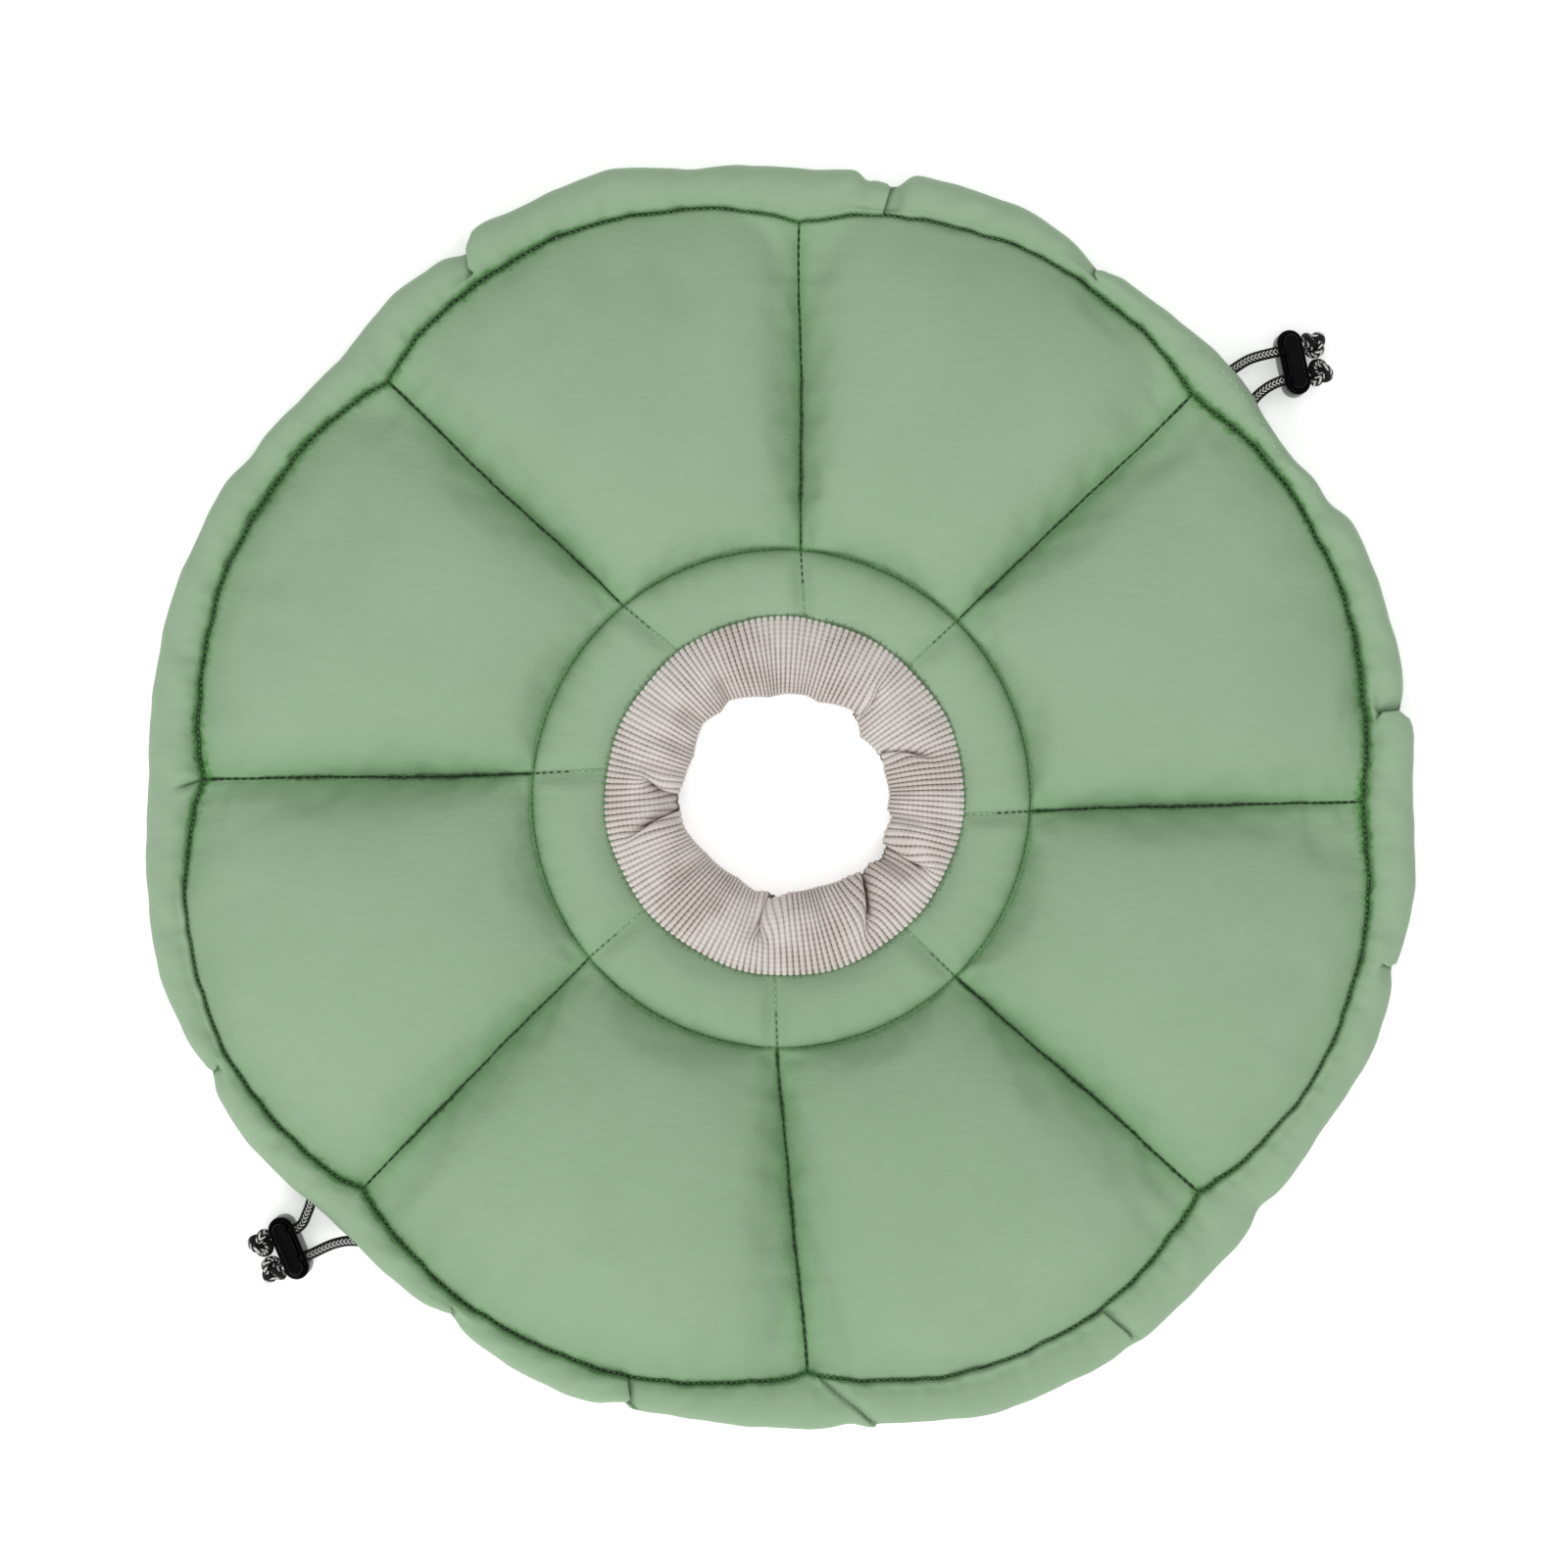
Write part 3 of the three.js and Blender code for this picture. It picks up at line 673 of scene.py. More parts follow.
def skin(around: int, section: int, place: Callable[[Array, Array], tuple[Array, Marks]],
         uv: Callable[[Array, Array], Array] | None = None) -> bmesh.types.BMesh:
    """Bends a grid into a ring that closes both ways.

    Args:
        around: Its faces round the ring.
        section: Its faces round the section.
        place: Gives the points and their numbers from the grid lines round the ring and the section.
        uv: Gives the UV map from the same grid lines, where the piece has one.

    Returns:
        The ring's shape. Edges whose two ends have a "held" number of 1 stay sharp.
    """
    grid = bmesh.new()
    bmesh.ops.create_grid(grid, x_segments=around, y_segments=section, size=0.5)
    flat = np.array([vert.co[:2] for vert in grid.verts])
    i = np.rint((flat[:, 0] + 0.5) * around)
    j = np.rint((flat[:, 1] + 0.5) * section)
    points, marks = place(i, j)
    layers = {name: grid.verts.layers.float.new(name) for name in marks}
    if uv is not None:
        spots = uv(i, j)
        layer = grid.loops.layers.uv.new("UVMap")
        for face in grid.faces:
            for loop in face.loops:
                loop[layer].uv = spots[loop.vert.index]
    for index, vert in enumerate(grid.verts):
        vert.co = points[index]
        for name, layer in layers.items():
            vert[layer] = float(marks[name][index])
    bmesh.ops.remove_doubles(grid, verts=grid.verts, dist=WELD)
    bmesh.ops.recalc_face_normals(grid, faces=grid.faces)
    if "held" in layers:
        sharp = grid.edges.layers.float.new("crease_edge")
        held = grid.verts.layers.float["held"]
        for edge in grid.edges:
            edge[sharp] = float(min(vert[held] for vert in edge.verts) > 0.5)
    return grid


def tube(points: Array, radius: float, sides: int) -> bmesh.types.BMesh:
    """Sweeps a round section along points, with closed ends.

    Args:
        points: The centreline.
        radius: The section's radius.
        sides: The section's sides.

    Returns:
        The tube's shape, with U round it and V along it.
    """
    last = len(points) - 1
    tangents = unit(np.gradient(points, axis=0))
    normal = unit(np.cross(tangents[0], [0.0, 0.0, 1.0]) + SPECK)
    frames = []
    for tangent in tangents:
        normal = unit(normal - tangent * float(np.dot(normal, tangent)))
        frames.append((normal, np.cross(tangent, normal)))
    lengths = np.concatenate([[0.0], np.cumsum(np.linalg.norm(np.diff(points, axis=0), axis=1))])
    shape = bmesh.new()
    bmesh.ops.create_grid(shape, x_segments=sides, y_segments=last, size=0.5)
    layer = shape.loops.layers.uv.new("UVMap")
    flat = {vert: ((vert.co.x + 0.5) * sides, round((vert.co.y + 0.5) * last)) for vert in shape.verts}
    for face in shape.faces:
        for loop in face.loops:
            side, step = flat[loop.vert]
            loop[layer].uv = (side / sides, lengths[step])
    for vert, (side, step) in flat.items():
        angle = 2.0 * math.pi * side / sides
        across, up = frames[step]
        vert.co = points[step] + radius * (math.cos(angle) * across + math.sin(angle) * up)
    bmesh.ops.remove_doubles(shape, verts=shape.verts, dist=WELD)
    bmesh.ops.holes_fill(shape, edges=[edge for edge in shape.edges if edge.is_boundary], sides=0)
    bmesh.ops.recalc_face_normals(shape, faces=shape.faces)
    return shape


def spline(points: Array, steps: int) -> Array:
    """Runs a smooth curve through points.

    Args:
        points: The points.
        steps: The steps from each point to the next.

    Returns:
        The curve's points.
    """
    padded = np.concatenate([[2 * points[0] - points[1]], points, [2 * points[-1] - points[-2]]])
    share = np.linspace(0.0, 1.0, steps, endpoint=False)[:, None]
    pieces = []
    for a, b, c, d in zip(padded[:-3], padded[1:-2], padded[2:-1], padded[3:]):
        bend = 2 * a - 5 * b + 4 * c - d
        sway = 3 * b - a - 3 * c + d
        pieces.append(0.5 * (2 * b + (c - a) * share + bend * share ** 2 + sway * share ** 3))
    return np.concatenate([*pieces, points[-1:]])


class SeamRow(NamedTuple):
    """A radial seam: its bearings at the rim, ring and neck seams, the reach of its rim end, and the rim
    seam's reach midway to the next seam, both as shares of the outer radius."""

    rim: float
    ring: float
    neck: float
    end: float
    swell: float


@dataclass(frozen=True)
class Plan:
    """The collar's seams, seen from above, and their heights."""

    outer_radius: float = 0.155
    ring_radius: float = 0.06075
    neck_radius: float = 0.043
    neck_centre: tuple[float, float] = (0.0008, 0.0006)
    rim_height: float = 0.0065
    ring_height: float = 0.0075
    neck_height: float = 0.0085
    scallop_bluntness: float = 0.8
    wander: float = 0.0003
    ring_draw: float = 0.3
    shallowness: float = 0.0024
    draws: tuple[tuple[float, float], ...] = (
        (0, 1.0), (22, 0.75), (40, 0.95), (52, 0.55), (72, 0.2), (88, 0.3), (105, 0.6), (120, 0.95),
        (132, 0.75), (145, 0.95), (162, 0.75), (178, 1.0), (186, 0.75), (191, 0.1), (200, 0.25),
        (212, 0.75), (228, 0.8), (250, 0.7), (268, 0.6), (282, 0.4), (290, 0.05), (300, 0.3), (316, 0.7),
        (330, 0.15), (341, 0.6), (352, 0.9),
    )
    seams: tuple[SeamRow, ...] = (
        SeamRow(-0.3, -2.9, -6.1, 0.915, 0.941),
        SeamRow(44.5, 45.3, 46.5, 0.908, 0.945),
        SeamRow(88.2, 85.5, 83.3, 0.908, 0.951),
        SeamRow(133.3, 129.3, 126.1, 0.904, 0.944),
        SeamRow(178.1, 174.2, 171.2, 0.911, 0.962),
        SeamRow(223.0, 219.6, 219.0, 0.902, 0.943),
        SeamRow(272.6, 269.1, 266.9, 0.904, 0.952),
        SeamRow(316.7, 314.4, 312.4, 0.902, 0.949),
    )

    def bearing(self, column: str, wedge: Array) -> Array:
        """Returns the bearing at a wedge place on the rim, ring or neck seam."""
        lines = [getattr(row, column) for row in self.seams]
        return np.interp(wedge, np.arange(len(lines) + 1), [*lines, lines[0] + 360.0])

    def rim_seam(self, wedge: Array) -> Array:
        """Works out the rim seam's reach, a scallop in each wedge.

        Args:
            wedge: The wedge places.

        Returns:
            The reach at each.
        """
        count = len(self.seams)
        ends = [row.end for row in self.seams]
        base = np.interp(np.mod(wedge, count), np.arange(count + 1), [*ends, ends[0]])
        swell = np.array([row.swell for row in self.seams])[np.mod(np.floor(wedge), count).astype(int)]
        bow = np.clip(np.sin(math.pi * np.mod(wedge, 1.0)), 0.0, 1.0) ** self.scallop_bluntness
        waves = ((23, 0.3, 0.6), (47, 2.0, 0.5), (89, 1.1, 0.4), (151, 4.4, 0.25))
        unsteady = ripples(2.0 * math.pi * wedge / count, waves)
        return self.outer_radius * (base + (swell - base) * bow) + self.wander * unsteady

    def draw(self, bearing: Array) -> Array:
        """Returns how hard the rim seam is drawn in at bearings."""
        return ring_table(self.draws, bearing, True)

    def shallow(self, bearing: Array) -> Array:
        """Returns how far the top of the rim seam stands up where it is drawn in less."""
        return self.shallowness * (1.0 - self.draw(bearing))

    def at(self, seam: str, wedge: Array) -> Array:
        """Finds points of the rim, ring or neck seam in the disc's plane.

        Args:
            seam: Which of the three.
            wedge: The wedge places.

        Returns:
            The points.
        """
        if seam == "rim":
            return direction(self.bearing(seam, wedge)) * self.rim_seam(wedge)[:, None]
        if seam == "ring":
            return direction(self.bearing(seam, wedge)) * self.ring_radius
        return direction(self.bearing(seam, wedge)) * self.neck_radius + np.array(self.neck_centre)

    def sway(self, wedge: Array, share: Array) -> Array:
        """Works out how far the petals' grid lines stray sideways, so that the radial seams aren't ruled.

        Args:
            wedge: The wedge places.
            share: The share of the way from the ring seam to the rim seam.

        Returns:
            The distances, anticlockwise.
        """
        line = np.mod(np.rint(wedge), len(self.seams))
        steady = 1.0 - smoothstep(0.0, 0.12, np.abs(wedge - np.rint(wedge)))
        angle = math.pi * share
        waves = ((1.3, 1.7, 1.0), (3.1, 2.9, 0.5), (13.0, 4.1, 0.15))
        stray = sum(size * np.sin(rate * angle + phase * line) for rate, phase, size in waves)
        return self.wander * steady * np.sqrt(np.clip(np.sin(angle), 0.0, 1.0)) * stray


def fullness(share: Array, roundness: float = 2.2, softness: float = 0.7) -> Array:
    """Returns how full a padded panel is at a share of the way across it, 0 at its seams and 1 between."""
    return np.clip(1.0 - np.abs(2.0 * share - 1.0) ** roundness, 0.0, 1.0) ** softness


def crowded(share: Array, pull: float = 0.6) -> Array:
    """Returns evenly spaced shares drawn towards both ends."""
    return (1.0 - pull) * share + pull * (0.5 - 0.5 * np.cos(math.pi * share))


@dataclass(frozen=True)
class Filling:
    """A cloth simulation that fills a padded piece."""

    pressure: float = 5.0
    growth: float = 0.012
    frames: int = 16
    quality: int = 5
    mass: float = 0.2
    stiffness: float = 14.0
    shear_share: float = 0.4
    bending: float = 0.6
    damping: float = 3.0
    cap: float = 0.0035

    def swell(self, piece: bpy.types.Object, held: Sequence[int]) -> None:
        """Swells a piece between its held points and keeps the result in its mesh.

        Args:
            piece: The piece.
            held: The points that its seams hold.
        """
        start = numbers_of(piece.data.vertices, "co", 3)
        group = piece.vertex_groups.new(name="seams")
        group.add(list(held), 1.0, "REPLACE")
        modifier = piece.modifiers.new("filling", "CLOTH")
        cloth = modifier.settings
        cloth.quality = self.quality
        cloth.mass = self.mass
        cloth.tension_stiffness = self.stiffness
        cloth.compression_stiffness = self.stiffness
        cloth.shear_stiffness = self.stiffness * self.shear_share
        cloth.bending_stiffness = self.bending
        cloth.air_damping = self.damping
        cloth.use_pressure = True
        cloth.uniform_pressure_force = self.pressure
        cloth.shrink_min = -self.growth
        cloth.vertex_group_mass = group.name
        cloth.effector_weights.gravity = 0.0
        modifier.collision_settings.use_collision = False
        modifier.point_cache.frame_start = 1
        modifier.point_cache.frame_end = self.frames
        scene = bpy.context.scene
        for frame in range(1, self.frames + 1):
            scene.frame_set(frame)
        swollen = piece.evaluated_get(bpy.context.evaluated_depsgraph_get())
        moved = numbers_of(swollen.data.vertices, "co", 3) - start
        piece.modifiers.remove(modifier)
        piece.vertex_groups.clear()
        scene.frame_set(1)
        reach = np.linalg.norm(moved, axis=1, keepdims=True)
        set_coordinates(piece.data, start + moved * np.minimum(1.0, self.cap / np.maximum(reach, SPECK)))
        LOG.info("%s: filled, moved %.1f mm at most", piece.name, float(reach.max()) / MM)


@dataclass
class QuiltedBrim:
    """The brim: eight quilted petals and the band of small pads inside them."""

    plan: Plan
    finish: Microfibre
    petal_crown: float = 0.0215
    petal_sag: float = 0.009
    band_crown: float = 0.0132
    band_sag: float = 0.005
    seam_thickness: float = 0.0012
    lines_a_wedge: int = 30
    band_lines: int = 10
    petal_lines: int = 34
    # How much darker the brim is made round the south side, and where.
    south_darkening_at: float = 265.0
    south_darkening_width: float = 80.0
    south_darkening_by_ring: float = 0.75
    south_darkening_fade: float = 0.4
    south_darkening_band: float = 0.6
    dimple: float = 0.4
    dimple_width: float = 0.0028
    band_seam_depth: float = 0.3
    pucker: float = 0.00015
    pucker_clearance: float = 1.6
    drag: float = 0.0001

    def rows(self) -> tuple[Array, Array, Array]:
        """Lists the section lines, over the top from the neck seam and back underneath.

        Returns:
            Each line's panel (0 band, 1 petal), share across it and layer (1 top, -1 underside).
        """
        band = [(0.0, share) for share in crowded(np.arange(self.band_lines) / self.band_lines)]
        petal = [(1.0, share) for share in crowded(np.arange(self.petal_lines + 1) / self.petal_lines)]
        top = [(panel, share, 1.0) for panel, share in band + petal]
        rows = np.array([*top, *[(panel, share, -1.0) for panel, share, _ in reversed(top)]])
        return rows[:, 0], rows[:, 1], rows[:, 2]

    def place(self, i: Array, j: Array) -> tuple[Array, Marks]:
        """Works out the brim's points.

        Args:
            i: Grid lines round the ring.
            j: Grid lines round the section.

        Returns:
            The points and their numbers.
        """
        plan = self.plan
        panels, shares, layers = self.rows()
        row = np.mod(j.astype(int), len(panels))
        petal, share, layer = panels[row] > 0.5, shares[row], layers[row]
        whole = np.floor(i / self.lines_a_wedge + TOUCH)
        across = crowded(i / self.lines_a_wedge - whole)
        wedge = whole + across
        neck, ring, rim = (plan.at(seam, wedge) for seam in ("neck", "ring", "rim"))
        inner = np.where(petal[:, None], ring, neck)
        outer = np.where(petal[:, None], rim, ring)
        flat = inner + (outer - inner) * share[:, None]
        stray = np.where(petal, plan.sway(wedge, share), 0.0)
        flat = flat + sideways(unit(flat)) * stray[:, None]
        reach = np.linalg.norm(flat, axis=1)
        to_radial = np.minimum(across, 1.0 - across) * reach * 2.0 * math.pi / len(plan.seams)
        depth = np.linalg.norm(outer - inner, axis=1)
        to_round = depth * np.where(petal, np.minimum(share, 1.0 - share), 1.0 - share)
        low = np.where(petal, plan.ring_height, plan.neck_height)
        high = np.where(petal, plan.rim_height, plan.ring_height)
        middle = low + (high - low) * share
        petal_full = fullness(across, 2.5, 0.62) * fullness(share ** 0.85)
        band_full = fullness(share, 2.4, 0.6) * (1.0 - self.dimple * hill(to_radial, self.dimple_width))
        full = np.where(petal, petal_full, band_full)
        half = self.seam_thickness / 2.0
        crown = np.where(petal, self.petal_crown, self.band_crown)
        sag = np.where(petal, self.petal_sag, self.band_sag)
        swell = np.where(layer > 0.0, crown - middle - half, sag) * full
        bearing = plan.bearing("rim", wedge)
        filled = plan.shallow(bearing) * smoothstep(0.93, 1.0, share) * (petal & (layer > 0.0))
        height = np.maximum(middle + layer * (half + swell) + filled, 0.0)
        on_seam = (to_round < TOUCH) | (petal & (to_radial < TOUCH)) | (~petal & (share < TOUCH))
        # Darker round the south side, more towards the ring seam.
        south_darkening = np.where(petal, self.south_darkening_by_ring - self.south_darkening_fade * share, self.south_darkening_band)
        # These marks also set where the material paints shade and shadow by the seams, and how much.
        marks = {
            "radial": to_radial / MM,
            "round": to_round / MM,
            "deep": np.where(petal, 1.0, self.band_seam_depth),
            "draw": np.where(petal & (share > 0.5), plan.draw(bearing), plan.ring_draw),
            "south_darkening": hill(turn_from(bearing, self.south_darkening_at), self.south_darkening_width) * south_darkening,
            "held": on_seam.astype(float),
        }
        return np.column_stack([flat, height]), marks

    def wrinkle(self, mesh: bpy.types.Mesh) -> None:
        """Adds the puckers next to the seams and the long soft drags of the cloth between them.

        Args:
            mesh: The brim's finished mesh.
        """
        points = numbers_of(mesh.vertices, "co", 3)
        radial, rounds = (numbers_of(mesh.attributes[name].data, "value") for name in ("radial", "round"))
        x, y = points[:, 0] / MM, points[:, 1] / MM
        reach, angle = np.hypot(x, y), np.arctan2(y, x)
        bent = reach + 8.0 * np.sin(5.0 * angle)
        over_radial = ripples(bent, ((0.67, 0.2, 1.0), (0.95, 1.9, 0.8), (1.4, 3.1, 0.6)))
        over_rim = ripples(angle, ((97, 0.4, 1.0), (131, 2.1, 0.8), (179, 1.3, 0.5)))
        over_ring = ripples(angle, ((41, 0.9, 1.0), (61, 2.6, 0.8), (83, 1.8, 0.5)))
        over_round = np.where(reach > 100.0, over_rim, over_ring)
        off_radial, off_round = (smoothstep(0.0, self.pucker_clearance, gap) for gap in (radial, rounds))
        puckers = over_radial * np.exp(-radial / 7.0) * off_radial * (reach > 61.0) \
            + over_round * np.exp(-rounds / 5.0) * off_round
        upward = 0.8 * y + 0.35 * x + 3.0 * np.sin(0.021 * x)
        rightward = 0.9 * x - 0.3 * y + 4.0 * np.sin(0.017 * y)
        drags = ripples(upward, ((0.11, 0.7, 1.0), (0.23, 2.9, 0.55))) \
            + ripples(rightward, ((0.083, 1.1, 0.9), (0.19, 4.0, 0.4)))
        soft = smoothstep(2.0, 16.0, np.minimum(radial, rounds))
        lift = self.pucker * puckers + self.drag * drags * soft
        points = points + numbers_of(mesh.vertex_normals, "vector", 3) * lift[:, None]
        points[:, 2] = np.maximum(points[:, 2], 0.0)
        set_coordinates(mesh, points)

    def build(self) -> bpy.types.Object:
        """Builds, fills and dresses the brim.

        Returns:
            The brim.
        """
        shape = skin(self.lines_a_wedge * len(self.plan.seams), len(self.rows()[0]), self.place)
        held = shape.verts.layers.float["held"]
        pinned = [vert.index for vert in shape.verts if vert[held] > 0.5]
        brim = piece_from("quilted_petals", shape, self.finish.material())
        Filling().swell(brim, pinned)
        finer = brim.modifiers.new("finer", "SUBSURF")
        finer.levels = 1
        finer.render_levels = 1
        apply_modifiers(brim)
        self.wrinkle(brim.data)
        brim.data.shade_smooth()
        hand_over(brim, Body.COLLAR, Slot.BRIM, "quilted_brim")
        return brim


class BuckleRow(NamedTuple):
    """A buckle of the casing: its half-width in degrees, the dent of the edge as a share of the outer radius
    and the share of thickness that it takes. tuck is half the length of cloth that doubles over, in
    millimetres, positive where the side before it lies on top, and step is how far that side stands out past
    the other, in millimetres. slant is how far the crease leans for each metre across, and start and end are
    the shares of the width that it runs over."""

    at: float
    width: float
    dent: float
    pinch: float
    tuck: float = 0.0
    step: float = 0.0
    slant: float = 0.0
    start: float = 0.1
    end: float = 1.3


@dataclass
class RimCasing:
    """The padded casing round the outside, buckled where the drawcords gather it."""

    plan: Plan
    finish: Microfibre
    thickness: float = 0.0116
    seam_thickness: float = 0.0014
    gap: float = 0.00012
    around: int = 2400
    section: int = 40
    rise: float = 0.0019
    gather: float = 0.0003
    unevenness: float = 0.0003
    waviness: float = 0.03
    softness: float = 0.0002
    crispness: float = 2.0
    full_tuck: float = 0.0024
    # Half-width of the painted shade along a crease that doesn't double over.
    crease: float = 0.0005
    lowest: float = 0.0002
    # Where and how widely the casing is made darker round the south side.
    south_darkening_at: float = 276.0
    south_darkening_width: float = 28.0
    edges: tuple[tuple[float, float], ...] = (
        (0, 0.996), (14, 1.003), (26, 1.001), (35, 0.968), (43, 0.982), (57, 0.981), (68, 1.005),
        (76, 1.009), (88, 0.994), (97, 1.004), (106, 1.028), (116, 1.018), (126, 1.003), (136, 0.982),
        (152, 1.008), (162, 1.012), (177, 0.999), (196, 1.017), (210, 1.004), (224, 0.973), (235, 0.975),
        (250, 1.0), (260, 0.988), (278, 0.999), (291, 1.028), (303, 1.026), (315, 1.008), (325, 1.0),
        (338, 1.014), (346, 1.006), (351, 1.012),
    )
    buckles: tuple[BuckleRow, ...] = (
        BuckleRow(7.7, 1.4, 0.010, 0.35, 2.6, 1.2, -0.05, 0.25),
        BuckleRow(28.5, 1.8, 0.012, 0.2),
        BuckleRow(58.7, 1.6, 0.01, 0.3, 2.2, 0.4, 0.2, 0.45),
        BuckleRow(82.1, 0.8, 0.012, 0.2),
        BuckleRow(80.3, 1.5, 0.021, 0.3, -1.9, 0.2, -0.1, -0.2),
        BuckleRow(79.1, 0.7, 0.010, 0.2),
        BuckleRow(119.9, 1.5, 0.010, 0.3, 2.2, 1.3, -0.45, 0.25),
        BuckleRow(147.6, 1.8, 0.008, 0.15),
        BuckleRow(179.2, 0.5, 0.0, 0.3, 0.0, 0.0, 0.43, -0.2, 0.36),
        BuckleRow(205.3, 1.6, 0.01, 0.2, 1.8, 0.2, 0.0, 0.5),
        BuckleRow(237.0, 1.6, 0.01, 0.2, 1.8, 0.2, 0.0, 0.5),
        BuckleRow(255.2, 1.4, 0.010, 0.35, 2.6, -0.5, 0.35, -0.2),
        BuckleRow(276.2, 1.5, 0.008, 0.3, 1.0, 0.3, 1.15, -0.2),
        BuckleRow(302.5, 1.4, 0.003, 0.25, 1.1, 0.0, 0.3, -0.2, 0.85),
        BuckleRow(319.6, 1.8, 0.012, 0.2),
        BuckleRow(344.7, 1.5, 0.005, 0.3, -1.3, 0.4, 0.1, 0.6),
    )

    def place(self, i: Array, j: Array) -> tuple[Array, Marks]:
        """Works out the casing's points.

        Args:
            i: Grid lines round the ring.
            j: Grid lines round the section, from the rim seam over the top.

        Returns:
            The points and their numbers.
        """
        plan = self.plan
        wedge = np.mod(i, self.around) * len(plan.seams) / self.around
        bearing = plan.bearing("rim", wedge)
        angle = np.radians(bearing)
        turn = 2.0 * math.pi * np.mod(j, self.section) / self.section
        across = 0.5 - 0.5 * np.cos(turn)
        side = np.sign(np.sin(turn) + TINY)
        inner = plan.rim_seam(wedge) + self.gap
        uneven = ripples(angle, ((17, 0.5, 0.5), (31, 2.2, 0.45), (67, 3.9, 0.3), (127, 0.6, 0.12)))
        outer = plan.outer_radius * ring_table(self.edges, bearing, True) + self.unevenness * uneven
        wavy = ripples(angle, ((19, 1.0, 1.0), (43, 0.2, 1.0)))
        thickness = self.thickness * (1.0 + self.waviness * wavy)
        shift, lift, fold_shade = np.zeros((3, len(i)))
        for row in self.buckles:
            offset = turn_from(bearing, row.at) * math.radians(1.0) * plan.outer_radius
            leant = offset - row.slant * (across - 0.5) * (outer - inner)
            width = row.width * math.radians(1.0) * plan.outer_radius
            shown = smoothstep(row.start - 0.12, row.start + 0.12, across) \
                * (1.0 - smoothstep(row.end - 0.15, row.end + 0.15, across))
            outer = outer - row.dent * plan.outer_radius * hill(offset, width)
            thickness = thickness * (1.0 - row.pinch * hill(leant, width) * shown)
            if row.tuck:
                half = abs(row.tuck) * MM
                bold = min(1.0, half / self.full_tuck)
                over = -np.sign(row.tuck) * np.tanh(leant / (0.45 * half)) * hill(leant, 3.2 * half)
                eased = 1.0 - 0.75 * smoothstep(0.72, 1.0, across)
                shift = shift - 2.5 * leant * hill(leant, half) * shown * eased
                lift = lift + over * self.rise * bold * shown
                outer = outer + over * row.step * MM
                # Painted shade on the cloth tucked under in each buckle.
                under = leant - 1.12 * half * np.sign(row.tuck)
                fold_shade = np.maximum(fold_shade, (0.4 + 0.6 * bold) * hill(under, 0.22 * half) * shown)
            elif row.end < 1.0:
                fold_shade = np.maximum(fold_shade, hill(leant, self.crease) * shown)
        profile = np.where(across < 0.5, fullness(across, 3.0, 0.42), fullness(across, 2.2, 0.5))
        half = np.maximum(self.seam_thickness / 2.0 * (across < 0.5), thickness / 2.0 * profile)
        gathers = ripples(angle, ((97, 0.4, 0.7), (143, 4.0, 0.6), (211, 1.3, 0.5), (61, 2.0, 0.5)))
        pinched = self.gather * gathers * np.exp(-across * 3.2) * smoothstep(0.0, 0.12, across)
        dents = ripples(angle + 0.06 * across, ((53, 1.2, 1.0), (83, 0.4, 0.8)))
        soft = self.softness * dents * np.sin(math.pi * across)
        filled = plan.shallow(bearing) * (1.0 - smoothstep(0.0, 0.2, across))
        height = plan.rim_height + side * (half + pinched + soft) + (lift + filled) * (side > 0.0)
        outward = direction(bearing)
        flat = outward * (inner + (outer - inner) * across)[:, None] + sideways(outward) * shift[:, None]
        # These marks also set where the material paints shade and shadow by the rim seam and in the folds.
        marks = {
            "round": self.crispness * (outer - inner) * across / MM,
            "draw": plan.draw(bearing),
            "fold_shade": fold_shade,
            # Darker round the south side.
            "south_darkening": hill(turn_from(bearing, self.south_darkening_at), self.south_darkening_width),
        }
        return np.column_stack([flat, np.maximum(height, self.lowest)]), marks

    def build(self) -> bpy.types.Object:
        """Builds and dresses the casing.

        Returns:
            The casing.
        """
        shape = skin(self.around, self.section, self.place)
        casing = piece_from("gathered_casing", shape, self.finish.material())
        hand_over(casing, Body.COLLAR, Slot.CASING, "rim_casing")
        return casing


class GatherRow(NamedTuple):
    """A gather of the cuff: its half-width in degrees, the share of thickness that it takes, how far it runs
    towards the seam, how far it bends on the way, in degrees, and half the length of knit that doubles over,
    in millimetres, positive where the side before it lies on top."""

    at: float
    width: float
    depth: float
    run: float
    bend: float = 0.0
    tuck: float = 0.0


